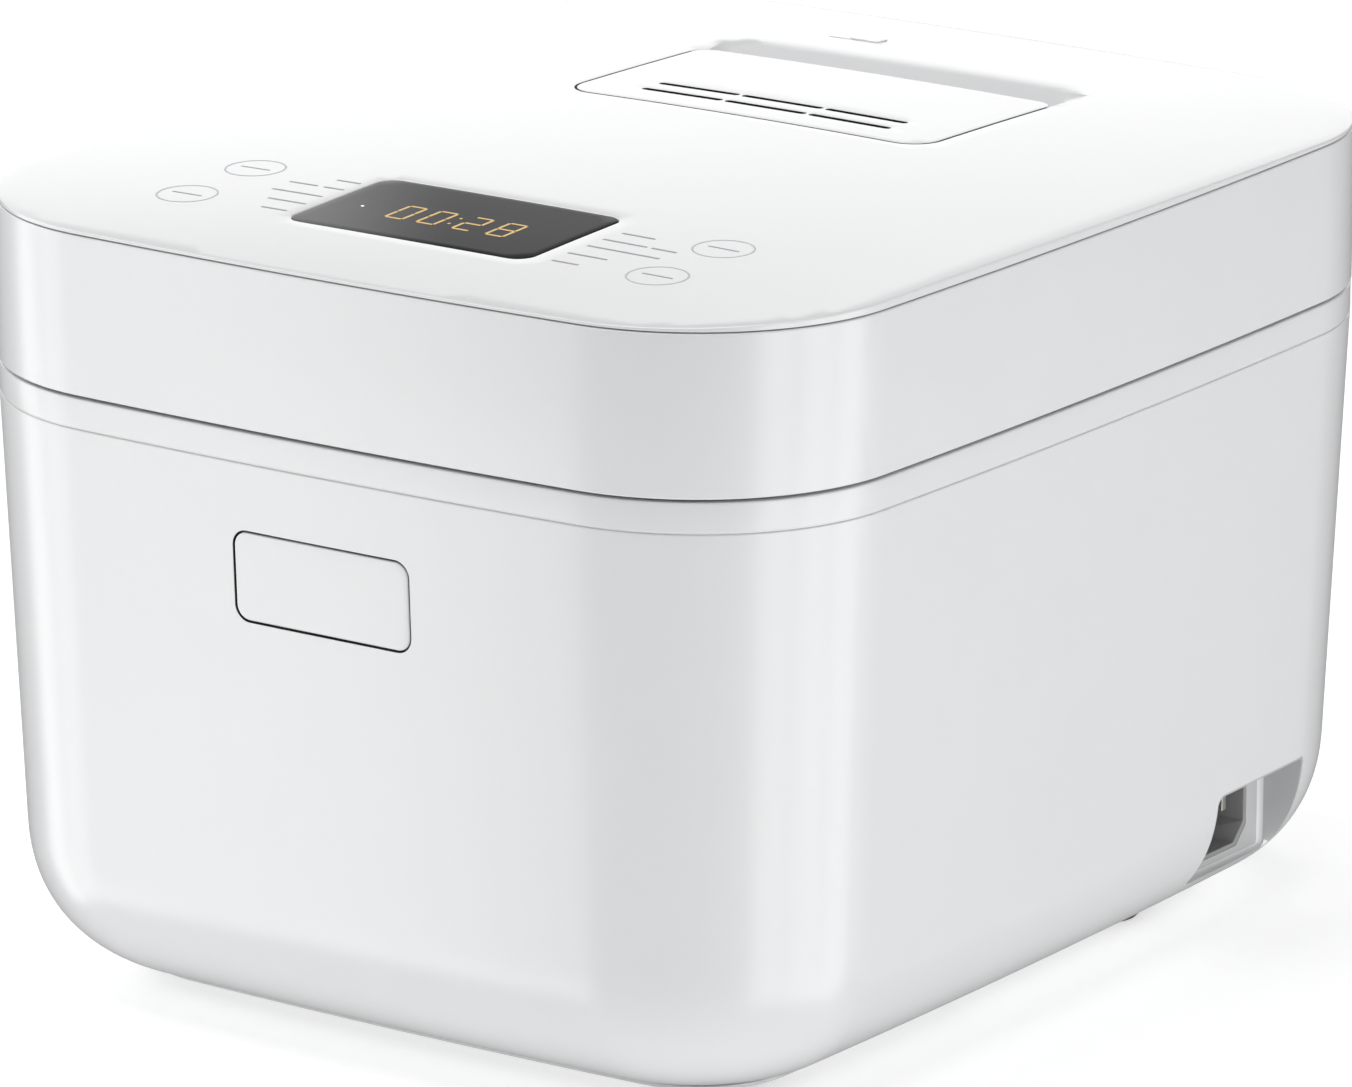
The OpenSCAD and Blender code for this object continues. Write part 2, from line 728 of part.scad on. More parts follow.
module lid_liner() color("gainsboro") difference() {
    union() {
        slab(wall + 0.4, lid_z0 + 0.4, lid_z0 + 3);
        // wall around the space for the inner lid
        rod(pot_r - 1, [0, 0, lid_z0 + 0.4], 9);
        for (p = lid_bosses) rod(4, [p[0], p[1], lid_z0 + 1], 5);
    }
    rod(pot_r - 3, [0, 0, lid_z0 - 1], 8.4);
    rod(9.6, [0, 60, lid_z0], 20);
    rod(3.2, [0, 0, lid_z0], 20);
    rod(3.2, [40, 0, lid_z0], 20);
    for (p = lid_bosses) {
        rod(1.6, [p[0], p[1], lid_z0 - 1], 30);
        rod(3.6, [p[0], p[1], lid_z0 - 1], 3);
    }
    translate([-14, latch_y - 9, lid_z0 - 1]) cube([28, 16, 20]);
    translate([-notch_w / 2, hinge_y - 9, lid_z0 - 1]) cube([notch_w, 40, 20]);
    hinge_clearance();
}

module lid_screws() color("silver") for (p = lid_bosses)
    screw([p[0], p[1], lid_z0 + 2], 18, 3);

module lid_knuckles() color("gainsboro") difference() {
    for (s = [-1, 1]) {
        along_x(knuckle_r, s * knuckle_x - knuckle_w / 2, s * knuckle_x + knuckle_w / 2,
            hinge_y, hinge_z);
        translate([s * knuckle_x - knuckle_w / 2, hinge_y - 24, hinge_z])
            cube([knuckle_w, 24, knuckle_r]);
        translate([s * knuckle_x - knuckle_w / 2, hinge_y - 24, lid_z0 + 3.1])
            cube([knuckle_w, 12, 9]);
    }
    along_x(hinge_pin_r + 0.05, -60, 60, hinge_y, hinge_z);
}

module lid_keeper() color("silver") difference() {
    union() {
        translate([-13.6, latch_y + 4.6, lid_z0 + 0.4]) cube([27.2, 2.2, 14]);
        translate([-13.6, latch_y + 6.6, lid_z0 + 3.1]) cube([27.2, 12, 1.6]);
    }
    // window that the hook reaches into
    translate([-7, latch_y, lid_z0 + 3.6]) cube([14, 8, 6.6]);
}

module inner_lid() color("silver") difference() {
    rotate_extrude($fn = 96) translate([0, lid_z0 - 3.4]) polygon([
        [3.2, 3], [30, 3], [34, 1.6], [96, 1.6], [100, 4.6], [103.6, 4.6], [103.6, 6], [99.4, 6],
        [95.4, 3], [34.6, 3], [30.6, 4.4], [3.2, 4.4]
    ]);
    // steam holes under the vent
    for (a = [0 : 60 : 300]) translate([0, 60, 0]) rotate(a) rod(1.5, [4.6, 0, lid_z0 - 10], 20);
    rod(3.2, [40, 0, lid_z0 - 10], 20);
}

module inner_lid_seal() color("silver") rotate_extrude($fn = 96) polygon([
    [96.2, lid_z0 - 3.6], [106, lid_z0 - 2.4], [106, lid_z0 - 1.2], [104.4, lid_z0 - 0.8],
    [104.4, lid_z0 + 4], [103.9, lid_z0 + 4], [103.9, lid_z0 + 1.1], [100.2, lid_z0 + 1.1],
    [96.6, lid_z0 - 2.2]
]);

module inner_lid_knob() color("dimgray") {
    rod(3, [0, 0, lid_z0 - 1], 11);
    rod(9, [0, 0, lid_z0 + 1.2], 3);
    rod(7, [0, 0, lid_z0 - 6], 5.4);
}

module lid_sensor() color("silver") {
    rod(3, [40, 0, lid_z0 - 0.2], 14);
    rod(5, [40, 0, lid_z0 + 10], 3);
}

// ---------- display and controls ----------
module display_window() color("black") intersection() {
    crown_sheet(1.6);
    block(window_w, window_d, 40, 4.8, [0, window_y, lid_z1 - 10]);
}

module led_display() color("darkorange")
    block(64, 26, 6.4, 1, [0, window_y, lid_z1 - 6.4]);

module control_board() color("seagreen") difference() {
    block(176, 60, 1.6, 3, [0, -100, lid_z1 - 8.1]);
    for (p = board_posts) rod(1.6, [p[0], p[1], lid_z1 - 12], 10);
}

module touch_springs() color("silver") for (p = touch_at)
    translate([p[0], p[1], lid_z1 - 6.4]) coil(4, 0.5, 5.6, 3, 12);

// ---------- steam vent ----------
module vent_well() color("gainsboro") difference() {
    union() {
        block(vent_w + 5, vent_d + 3, 22, 8, [0, vent_mid, lid_z1 - 23]);
        rod(11.4, [0, 60, lid_z0 + 9.5], lid_z1 - 32 - lid_z0);
        // sloping floor of the finger scoop
        translate([-vent_w / 2 - 0.2, 0, lid_z1]) rotate([90, 0, 90]) linear_extrude(vent_w + 0.4)
            polygon([
                [vent_y1 - 2, -8], [vent_y1 + 2, -8], [scoop_y - 0.2, -1],
                [scoop_y - 0.2, crown * 0.5], [vent_y1 + 1.2, -2.6], [vent_y1 - 2, -2.6]
            ]);
    }
    block(vent_w + 1, vent_d + 0.9, 40, 7, [0, vent_mid, lid_z1 - 21]);
    rod(8, [0, 60, lid_z0], 40);
}

module vent_seal() color("silver") tube(8 - 0.1, 5.6, [0, 60, lid_z1 - 27], 5.7);

module vent_cap() color("white") difference() {
    intersection() {
        crown_sheet(24);
        union() {
            block(vent_w, vent_d, 30, 8.6, [0, vent_mid, lid_z1 + 0.4]);
            block(vent_w - 8, vent_d - 7, 40, 6, [0, vent_mid, lid_z1 - 18.5]);
        }
    }
    block(vent_w - 11, vent_d - 10, 17.8, 5, [0, vent_mid, lid_z1 - 17]);
    for (x = [-1, 0, 1], y = slot_rows) block(slot_w, 1.7, 40, 0.8, [x * slot_pitch, y, lid_z1 - 5]);
    rod(5, [0, 60, lid_z1 - 30], 20);
}

body_shell();
deck();
base_cover();
feet();
base_screws();
deck_screws();
inlet_panel();
power_inlet();
inlet_pins();
power_leads();
inner_pot();
pot_shield();
shield_brackets();
heating_plate();
heating_element();
plate_legs();
plate_screws();
sensor_housing();
sensor_spring();
sensor_cap();
thermal_fuse();
power_board();
power_parts();
board_brackets();
button_frame();
open_button();
button_spring();
latch_bracket();
latch_pin();
latch_lever();
latch_spring();
hinge_bracket();
hinge_pin();
hinge_spring();
hinge_cover();
lid_skirt();
lid_top();
lid_liner();
lid_screws();
lid_knuckles();
lid_keeper();
inner_lid();
inner_lid_seal();
inner_lid_knob();
display_window();
led_display();
control_board();
touch_springs();
vent_well();
vent_seal();
vent_cap();
lid_sensor();
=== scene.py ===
import json
import math
import bpy
import numpy as np
from mathutils import Matrix, Vector
from mathutils.bvhtree import BVHTree
from mathutils.geometry import delaunay_2d_cdt


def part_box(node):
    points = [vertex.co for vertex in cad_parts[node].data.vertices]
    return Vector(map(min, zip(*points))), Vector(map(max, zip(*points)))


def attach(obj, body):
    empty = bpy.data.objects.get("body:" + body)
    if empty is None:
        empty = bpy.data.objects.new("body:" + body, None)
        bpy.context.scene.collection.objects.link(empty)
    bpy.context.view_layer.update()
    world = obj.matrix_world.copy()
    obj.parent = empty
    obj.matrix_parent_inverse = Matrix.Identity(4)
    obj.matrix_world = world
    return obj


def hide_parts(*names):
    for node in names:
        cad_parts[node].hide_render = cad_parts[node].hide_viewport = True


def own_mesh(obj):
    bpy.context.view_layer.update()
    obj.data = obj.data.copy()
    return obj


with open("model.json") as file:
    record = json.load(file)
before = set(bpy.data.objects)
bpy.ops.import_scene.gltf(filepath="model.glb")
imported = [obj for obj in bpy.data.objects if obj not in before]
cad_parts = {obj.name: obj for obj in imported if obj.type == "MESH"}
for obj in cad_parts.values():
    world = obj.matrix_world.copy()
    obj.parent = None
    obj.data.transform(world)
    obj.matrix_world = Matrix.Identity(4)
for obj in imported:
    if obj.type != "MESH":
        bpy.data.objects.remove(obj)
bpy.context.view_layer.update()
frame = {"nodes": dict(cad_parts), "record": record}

# All shapes below are worked out in millimetres and scaled to metres when a mesh is made.
MM = 0.001


def box_mm(node):
    low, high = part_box(node)
    return low / MM, high / MM


# ---------- driving sizes, from the frame ----------
skirt_low, skirt_high = box_mm("lid_skirt")
shell_high = box_mm("body_shell")[1]
deck_high = box_mm("deck")[1]
window_low, window_high = box_mm("display_window")
cap_low, cap_high = box_mm("vent_cap")
button_low, button_high = box_mm("open_button")
pot_low, pot_high = box_mm("inner_pot")

HALF_W = skirt_high.x
HALF_D = skirt_high.y
GAP = 0.4  # seam between two outer pieces
LID_Z0 = skirt_low.z
LID_Z1 = skirt_high.z + GAP
SEAM_Z = LID_Z0 - GAP
SHELL_Z1 = shell_high.z
DECK_Z1 = deck_high.z
CROWN = cap_high.z - LID_Z1 + 0.2

# ---------- shape of the outline and the shells ----------
# The plan is a rectangle with slightly bowed sides. The walls lean in towards a rolled belly.
CORNER_R = 58
SIDE_BOW_R = 3000
FRONT_BOW_R = 1750
BOW_X = SIDE_BOW_R - HALF_W
BOW_Y = FRONT_BOW_R - HALF_D
WALL = 2.5
BAND_STEP = 0.2  # how far the deck and the shell's top lie inside the lid wall
SIDE_TAPER = 0.041  # inwards per millimetre of drop
FRONT_TAPER = 0.048
CORNER_KEEP = 0.86  # how much of the inset the corner radius loses
BELLY_R = 39.5
BELLY_POWER = 0.9  # 1 would be a true quarter circle
SHELL_Z0 = 5
EDGE_RISE = 0.6  # of the lid's top at its front and rear edges
SIDE_RISE = 1.4  # extra rise along the sides, larger in the front half
CORNER_STEPS = 36
SIDE_STEPS = 14


def corner_centre(ix, iy, r):
    """Centre of the front right corner circle that touches both bows."""
    reach_y = FRONT_BOW_R - iy - r
    reach_x = SIDE_BOW_R - ix - r
    apart = math.hypot(BOW_X, BOW_Y)
    along = (reach_y**2 - reach_x**2 + apart**2) / (2 * apart)
    across = math.sqrt(reach_y**2 - along**2)
    return (
        (across * BOW_Y - along * BOW_X) / apart,
        BOW_Y - (along * BOW_Y + across * BOW_X) / apart,
    )


def arc(centre, r, a0, a1, steps):
    angles = np.linspace(a0, a1, steps, endpoint=False)
    return np.column_stack([centre[0] + r * np.cos(angles), centre[1] + r * np.sin(angles)])


def outline_at(ix, iy, r):
    """Plan outline moved in by ix at the sides and iy at the ends, from the front middle."""
    cx, cy = corner_centre(ix, iy, r)
    front_end = math.atan2(cy - BOW_Y, cx)
    side_start = math.atan2(cy, cx + BOW_X)
    q = np.vstack([
        arc((0, BOW_Y), FRONT_BOW_R - iy, -math.pi / 2, front_end, SIDE_STEPS),
        arc((cx, cy), r, front_end, side_start, CORNER_STEPS),
        arc((-BOW_X, 0), SIDE_BOW_R - ix, side_start, 0, SIDE_STEPS),
        [[HALF_W - ix, 0]],
    ])
    half = np.vstack([q, (q * [1, -1])[-2::-1]])
    return np.vstack([half, (half * [-1, 1])[-2:0:-1]])


def outline(inset):
    return outline_at(inset, inset, CORNER_R - inset)


def body_ring(z, roll=0.0, depth=0.0):
    drop = max(0.0, SHELL_Z1 - z)
    ix = BAND_STEP + SIDE_TAPER * drop + roll
    iy = BAND_STEP + FRONT_TAPER * drop + roll
    return outline_at(ix + depth, iy + depth, CORNER_R - CORNER_KEEP * (ix + iy) / 2 - depth)


def crown_z(x, y):
    """Height of the lid's top above the parting line."""
    u = (x / HALF_W) ** 2
    v = y / HALF_D
    w = 1 - v * v
    return EDGE_RISE + (CROWN - EDGE_RISE) * (1 - u) * w + SIDE_RISE * u * w * (1 - v)


# ---------- mesh helpers ----------
def at(points, z):
    return np.column_stack([points, np.broadcast_to(z, len(points))])


def loft(rings, closed=False):
    """Faces between rings of equal length; closed joins the last ring to the first."""
    n = len(rings[0])
    count = len(rings)
    i = np.arange(n)
    j = (i + 1) % n
    faces = []
    for k in range(count if closed else count - 1):
        a, b = k * n, (k + 1) % count * n
        faces.extend(np.column_stack([a + i, a + j, b + j, b + i]).tolist())
    if not closed:
        faces.append(list(range(n))[::-1])
        faces.append(list(range((count - 1) * n, count * n)))
    return np.vstack(rings), faces


def joined(*parts):
    verts, faces, base = [], [], 0
    for v, f in parts:
        verts.append(v)
        faces.extend([[i + base for i in face] for face in f])
        base += len(v)
    return np.vstack(verts), faces


def rounded(corners, radii, steps=5):
    """A closed polygon with each corner rounded by its radius."""
    pts = []
    n = len(corners)
    for k, r in enumerate(radii):
        p, a, b = (np.array(corners[m % n], float) for m in (k, k - 1, k + 1))
        if not r:
            pts.append(p)
            continue
        ua, ub = (a - p) / np.linalg.norm(a - p), (b - p) / np.linalg.norm(b - p)
        half = math.acos(np.clip(ua @ ub, -1, 1)) / 2
        mid = (ua + ub) / np.linalg.norm(ua + ub)
        centre = p + mid * r / math.sin(half)
        start, end = p + ua * r / math.tan(half), p + ub * r / math.tan(half)
        a0 = math.atan2(*(start - centre)[::-1])
        turn = (math.atan2(*(end - centre)[::-1]) - a0 + math.pi) % (2 * math.pi) - math.pi
        for t in np.linspace(0, 1, steps + 1):
            pts.append(centre + r * np.array([math.cos(a0 + turn * t), math.sin(a0 + turn * t)]))
    return np.array(pts)


def rectangle(x0, x1, y0, y1, front_r, rear_r, steps=10):
    corners = [(x0, y0), (x1, y0), (x1, y1), (x0, y1)]
    return rounded(corners, [front_r, front_r, rear_r, rear_r], steps)


def circle(x, y, r, n=48):
    a = np.linspace(0, 2 * math.pi, n, endpoint=False)
    return np.column_stack([x + r * np.cos(a), y + r * np.sin(a)])


def lathe(profile, centre=(0, 0), n=192):
    """A closed profile of (radius, height) turned about a vertical axis."""
    return loft([at(circle(*centre, r, n), z) for r, z in reversed(profile)], closed=True)


def shrink(loop, d):
    """A counterclockwise loop moved inwards by d (outwards where d is negative)."""
    before, after = np.roll(loop, 1, 0), np.roll(loop, -1, 0)
    e1, e2 = loop - before, after - loop
    n1 = np.column_stack([-e1[:, 1], e1[:, 0]]) / np.linalg.norm(e1, axis=1)[:, None]
    n2 = np.column_stack([-e2[:, 1], e2[:, 0]]) / np.linalg.norm(e2, axis=1)[:, None]
    return loop + d * (n1 + n2) / (1 + (n1 * n2).sum(1))[:, None]


def resample(loop, step):
    """The loop with long edges cut into pieces of about step."""
    out = []
    for a, b in zip(loop, np.roll(loop, -1, 0)):
        n = max(1, round(np.linalg.norm(b - a) / step))
        out.extend(a + (b - a) * k / n for k in range(n))
    return np.array(out)


def inside(points, loop):
    x, y = points[:, 0], points[:, 1]
    result = np.zeros(len(points), bool)
    for (xa, ya), (xb, yb) in zip(loop, np.roll(loop, -1, 0)):
        if ya != yb:
            result ^= ((ya > y) != (yb > y)) & (x < (xb - xa) * (y - ya) / (yb - ya) + xa)
    return result


EDGE_RINGS = (0.0, 0.12, 0.35, 0.65, 1.0)  # places across a plate's rounded edge, 0 to 1


def plate(outer, holes, top, bottom, edge=0.5, grid=6.0, extra=(), dense=None):
    """A closed sheet over a plan outline with holes: top and bottom give its heights.

    Its upper edges are rounded by edge. The mesh also follows the loops in extra and has
    the points in dense."""
    def rim_drop(f):
        return edge * (1 - math.sqrt(max(0.0, 1 - (1 - f) ** 2)))

    loops, drops = [], []
    for loop, sign in [(outer, 1)] + [(h, -1) for h in holes]:
        for f in EDGE_RINGS:
            loops.append(shrink(loop, sign * f * edge))
            drops.append(rim_drop(f))
    low, high = outer.min(0), outer.max(0)
    gx, gy = np.meshgrid(np.arange(low[0], high[0], grid), np.arange(low[1], high[1], grid))
    points = np.column_stack([gx.ravel(), gy.ravel()]) + grid / 2
    keep = inside(points, shrink(outer, edge + grid * 0.3))
    for h in holes:
        keep &= ~inside(points, shrink(h, -edge - grid * 0.3))
    points = points[keep]
    if dense is not None:
        points = np.vstack([points, dense])
    flat, edges, start, drop = [], [], 0, []
    for loop, d in list(zip(loops, drops)) + [(e, 0.0) for e in extra]:
        n = len(loop)
        flat.append(loop)
        edges.extend((start + i, start + (i + 1) % n) for i in range(n))
        drop.extend([d] * n)
        start += n
    flat.append(points)
    drop.extend([0.0] * len(points))
    flat = np.vstack(flat)
    drop = np.array(drop)
    out = delaunay_2d_cdt([Vector(p) for p in flat], edges, [], 0, 1e-6, True)
    source = [ids[0] if ids else -1 for ids in out[3]]
    place = np.array([tuple(v) for v in out[0]])
    fall = np.array([drop[s] if s >= 0 else 0.0 for s in source])
    tris = np.array(out[2])
    middle = place[tris].mean(1)
    keep = inside(middle, outer)
    for h in holes:
        keep &= ~inside(middle, h)
    tris = tris[keep]
    n = len(place)
    x, y = place[:, 0], place[:, 1]
    upper = at(place, top(x, y) - fall)
    under = at(place, bottom(x, y))
    a, b = place[tris[:, 1]] - place[tris[:, 0]], place[tris[:, 2]] - place[tris[:, 0]]
    turned = a[:, 0] * b[:, 1] - a[:, 1] * b[:, 0] < 0
    tris[turned] = tris[turned][:, ::-1]
    faces = tris.tolist() + (tris[:, ::-1] + n).tolist()
    count = {}
    for t in tris.tolist():
        for p, q in ((t[0], t[1]), (t[1], t[2]), (t[2], t[0])):
            count[(p, q)] = 1
    faces += [[q, p, p + n, q + n] for p, q in count if (q, p) not in count]
    return np.vstack([upper, under]), faces


def ribbon(points, width, height, closed=False, thick=0.05):
    """A thin raised stripe along plan points, lying on the surface that height gives."""
    p = np.array(points, float)
    if closed:
        d = np.roll(p, -1, 0) - np.roll(p, 1, 0)
    else:
        d = np.gradient(p, axis=0)
    d /= np.linalg.norm(d, axis=1)[:, None]
    side = np.column_stack([d[:, 1], -d[:, 0]]) * width / 2
    rails = []
    for s, t in ((1, -thick), (1, thick), (-1, thick), (-1, -thick)):
        q = p + s * side
        rails.append(at(q, height(q[:, 0], q[:, 1]) + t))
    rings = [np.array([rail[k] for rail in rails]) for k in range(len(p))]
    return loft(rings, closed)


# ---------- pieces ----------
def make(name, shape, body, material, replaces=(), sharp=32):
    """A piece from (points in millimetres, faces), shaded smooth apart from its sharp edges."""
    verts, faces = shape
    mesh = bpy.data.meshes.new(name)
    mesh.from_pydata([tuple(v) for v in np.asarray(verts) * MM], [], faces)
    mesh.validate()
    mesh.shade_smooth()
    mesh.set_sharp_from_angle(angle=math.radians(sharp))
    piece = bpy.data.objects.new(name, mesh)
    bpy.context.scene.collection.objects.link(piece)
    piece.data.materials.append(material)
    if body:
        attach(piece, body)
    if replaces:
        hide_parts(*replaces)
    return piece


def solid(shape, name="cutter"):
    verts, faces = shape
    mesh = bpy.data.meshes.new(name)
    mesh.from_pydata([tuple(v) for v in np.asarray(verts) * MM], [], faces)
    cutter = bpy.data.objects.new(name, mesh)
    bpy.context.scene.collection.objects.link(cutter)
    return cutter


def block(x0, x1, y0, y1, z0, z1):
    base = np.array([(x0, y0), (x1, y0), (x1, y1), (x0, y1)], float)
    return loft([at(base, z0), at(base, z1)])


SHARP_ANGLE = 32
SAME_PLACE = 0.0001  # metres
SAME_SIDE = math.cos(math.radians(24))


def cut(piece, *shapes):
    """Cuts the shapes out of a piece, and keeps the smooth shading that it had before."""
    plain = piece.data
    plain_normals = [Vector(n.vector) for n in plain.vertex_normals]
    faces = [tuple(p.vertices) for p in plain.polygons]
    points = [v.co.copy() for v in plain.vertices]
    tree = BVHTree.FromPolygons(points, faces)
    for shape in shapes:
        cutter = solid(shape)
        modifier = piece.modifiers.new("cut", "BOOLEAN")
        modifier.operation = "DIFFERENCE"
        modifier.solver = "EXACT"
        modifier.object = cutter
        graph = bpy.context.evaluated_depsgraph_get()
        result = bpy.data.meshes.new_from_object(piece.evaluated_get(graph))
        piece.modifiers.clear()
        piece.data = result
        bpy.data.objects.remove(cutter)
    mesh = piece.data
    mesh.shade_smooth()
    mesh.set_sharp_from_angle(angle=math.radians(SHARP_ANGLE))
    normals = [Vector(n.vector) for n in mesh.corner_normals]
    for face in mesh.polygons:
        for corner in face.loop_indices:
            co = mesh.vertices[mesh.loops[corner].vertex_index].co
            spot, _, index, gap = tree.find_nearest(co)
            if index is None or gap > SAME_PLACE:
                continue
            weights = [1 / (1e-7 + (points[i] - spot).length) for i in faces[index]]
            smooth = sum((plain_normals[i] * w for i, w in zip(faces[index], weights)), Vector())
            smooth.normalize()
            if smooth.dot(face.normal) > SAME_SIDE:
                normals[corner] = smooth
    mesh.normals_split_custom_set(normals)
    return piece


# ---------- materials ----------
def nodes_of(name):
    material = bpy.data.materials.new(name)
    material.use_nodes = True
    tree = material.node_tree
    return material, tree, tree.nodes["Principled BSDF"]


def add_noise(tree, scale, detail=2.0, stretch=(1, 1, 1)):
    place = tree.nodes.new("ShaderNodeTexCoord")
    mapping = tree.nodes.new("ShaderNodeMapping")
    mapping.inputs["Scale"].default_value = stretch
    noise = tree.nodes.new("ShaderNodeTexNoise")
    noise.inputs["Scale"].default_value = scale
    noise.inputs["Detail"].default_value = detail
    tree.links.new(place.outputs["Object"], mapping.inputs["Vector"])
    tree.links.new(mapping.outputs["Vector"], noise.inputs["Vector"])
    return noise


def add_range(tree, source, low, high):
    remap = tree.nodes.new("ShaderNodeMapRange")
    remap.inputs["To Min"].default_value = low
    remap.inputs["To Max"].default_value = high
    tree.links.new(source, remap.inputs["Value"])
    return remap.outputs["Result"]


MOTTLE_SCALE = 38
GRAIN_HEIGHT = 0.0002
FLECK_START, FLECK_FULL = 0.63, 0.7


def surface(name, colour, rough, spread=0.03, tone=0.012, grain=900, bump=0.02, metal=0.0,
            coat=0.0, coat_rough=0.05, specular=0.5, stretch=(1, 1, 1), speck=None, glow=None,
            sheen=0.0):
    """A moulded, painted or metal surface with uneven tone, gloss and a fine grain."""
    material, tree, shader = nodes_of(name)
    mottle = add_noise(tree, MOTTLE_SCALE, 3.0)
    mix = tree.nodes.new("ShaderNodeMix")
    mix.data_type = "RGBA"
    mix.inputs["A"].default_value = (*[c * (1 - tone) for c in colour], 1)
    mix.inputs["B"].default_value = (*[min(1, c * (1 + tone)) for c in colour], 1)
    tree.links.new(mottle.outputs["Fac"], mix.inputs["Factor"])
    colour_out = mix.outputs["Result"]
    if speck:
        fleck = add_noise(tree, speck[1], 1.0)
        step = tree.nodes.new("ShaderNodeValToRGB")
        step.color_ramp.elements[0].position = FLECK_START
        step.color_ramp.elements[1].position = FLECK_FULL
        tree.links.new(fleck.outputs["Fac"], step.inputs["Fac"])
        over = tree.nodes.new("ShaderNodeMix")
        over.data_type = "RGBA"
        over.inputs["B"].default_value = (*speck[0], 1)
        tree.links.new(step.outputs["Color"], over.inputs["Factor"])
        tree.links.new(colour_out, over.inputs["A"])
        colour_out = over.outputs["Result"]
    tree.links.new(colour_out, shader.inputs["Base Color"])
    fine = add_noise(tree, grain, 2.0, stretch)
    if spread:
        # The noise rarely comes near 0 or 1, so its ends are set wider than the spread.
        gloss = add_range(tree, mottle.outputs["Fac"], rough - 2 * spread, rough + 2 * spread)
        tree.links.new(gloss, shader.inputs["Roughness"])
    else:
        shader.inputs["Roughness"].default_value = rough
    relief = tree.nodes.new("ShaderNodeBump")
    relief.inputs["Strength"].default_value = bump
    relief.inputs["Distance"].default_value = GRAIN_HEIGHT
    tree.links.new(fine.outputs["Fac"], relief.inputs["Height"])
    tree.links.new(relief.outputs["Normal"], shader.inputs["Normal"])
    shader.inputs["Metallic"].default_value = metal
    shader.inputs["Specular IOR Level"].default_value = specular
    shader.inputs["Coat Weight"].default_value = coat
    shader.inputs["Coat Roughness"].default_value = coat_rough
    shader.inputs["Sheen Weight"].default_value = sheen
    if glow:
        shader.inputs["Emission Color"].default_value = (*glow[0], 1)
        shader.inputs["Emission Strength"].default_value = glow[1]
    return material


BRUSHED = (1, 1, 30)
looks = {
    "white_gloss": surface("white_gloss", (0.82, 0.825, 0.835), 0.3, spread=0.0, bump=0.012,
                          specular=1.0, coat=1.0, coat_rough=0.24),
    "grey_plastic": surface("grey_plastic", (0.52, 0.53, 0.54), 0.5, bump=0.08, grain=2200),
    # Near black, for the strips that paint the shade in the seams and vent slots.
    "gap_shade": surface("gap_shade", (0.012, 0.012, 0.013), 0.6, bump=0.05, specular=0.2),
    "rubber": surface("rubber", (0.05, 0.05, 0.055), 0.72, bump=0.2, grain=2600, sheen=0.1),
    "black_plastic": surface("black_plastic", (0.085, 0.087, 0.09), 0.5, bump=0.06, grain=2400),
    "brass": surface("brass", (0.86, 0.84, 0.8), 0.28, metal=1.0, tone=0.03),
    "silicone": surface("silicone", (0.8, 0.8, 0.78), 0.5, bump=0.05, tone=0.02),
    "steel": surface("steel", (0.6, 0.6, 0.61), 0.34, metal=1.0, bump=0.1, stretch=BRUSHED),
    "spring_steel": surface("spring_steel", (0.48, 0.48, 0.5), 0.28, metal=1.0),
    "aluminium": surface("aluminium", (0.78, 0.79, 0.8), 0.36, metal=1.0, bump=0.08, tone=0.02,
                         grain=700),
    "nonstick": surface("nonstick", (0.02, 0.02, 0.022), 0.38, bump=0.14, grain=1700,
                        speck=((0.22, 0.21, 0.2), 1300), coat=0.15, coat_rough=0.3),
    "element": surface("element", (0.3, 0.28, 0.26), 0.55, metal=0.9, tone=0.12, bump=0.2),
    "ceramic": surface("ceramic", (0.8, 0.75, 0.66), 0.7, bump=0.2, tone=0.04),
    "board": surface("board", (0.02, 0.16, 0.06), 0.34, coat=0.4, tone=0.06),
    "components": surface("components", (0.035, 0.035, 0.04), 0.45, bump=0.1),
    "red_wire": surface("red_wire", (0.5, 0.03, 0.02), 0.42, bump=0.04),
    "dark_glass": surface("dark_glass", (0.02, 0.02, 0.021), 0.2, spread=0.02, bump=0.0,
                          specular=0.03),
    "led": surface("led", (0.5, 0.36, 0.16), 0.5, specular=0.1, glow=((1.0, 0.68, 0.3), 0.32)),
    "ink": surface("ink", (0.34, 0.34, 0.36), 0.5, bump=0.02, tone=0.04),
    "pale_ink": surface("pale_ink", (0.55, 0.55, 0.57), 0.5, bump=0.02, tone=0.06),
    "light_dot": surface("light_dot", (0.9, 0.9, 0.9), 0.4, glow=((1, 1, 1), 0.7)),
    "panel_grey": surface("panel_grey", (0.52, 0.525, 0.53), 0.34, bump=0.04, grain=2200, coat=0.6),
    # A lighter grey that paints a highlight on the inlet recess's fillet and floor.
    "panel_painted_highlight": surface("panel_painted_highlight", (0.84, 0.845, 0.85), 0.34, bump=0.03, coat=0.5),
    "inlet_grey": surface("inlet_grey", (0.3, 0.3, 0.3), 0.5, bump=0.06, grain=2400),
}
WHITE = looks["white_gloss"]


def fade(material, towards, start, end, colour):
    """Turns a material's tone to colour along a direction, from start to end millimetres."""
    tree = material.node_tree
    shader = tree.nodes["Principled BSDF"]
    plain = shader.inputs["Base Color"].links[0].from_socket
    place = tree.nodes.new("ShaderNodeTexCoord")
    along = tree.nodes.new("ShaderNodeVectorMath")
    along.operation = "DOT_PRODUCT"
    along.inputs[1].default_value = towards
    tree.links.new(place.outputs["Object"], along.inputs[0])
    part = tree.nodes.new("ShaderNodeMapRange")
    part.interpolation_type = "SMOOTHSTEP"
    part.inputs["From Min"].default_value = start * MM
    part.inputs["From Max"].default_value = end * MM
    tree.links.new(along.outputs["Value"], part.inputs["Value"])
    mix = tree.nodes.new("ShaderNodeMix")
    mix.data_type = "RGBA"
    mix.inputs["B"].default_value = (*colour, 1)
    tree.links.new(part.outputs["Result"], mix.inputs["Factor"])
    tree.links.new(plain, mix.inputs["A"])
    tree.links.new(mix.outputs["Result"], shader.inputs["Base Color"])


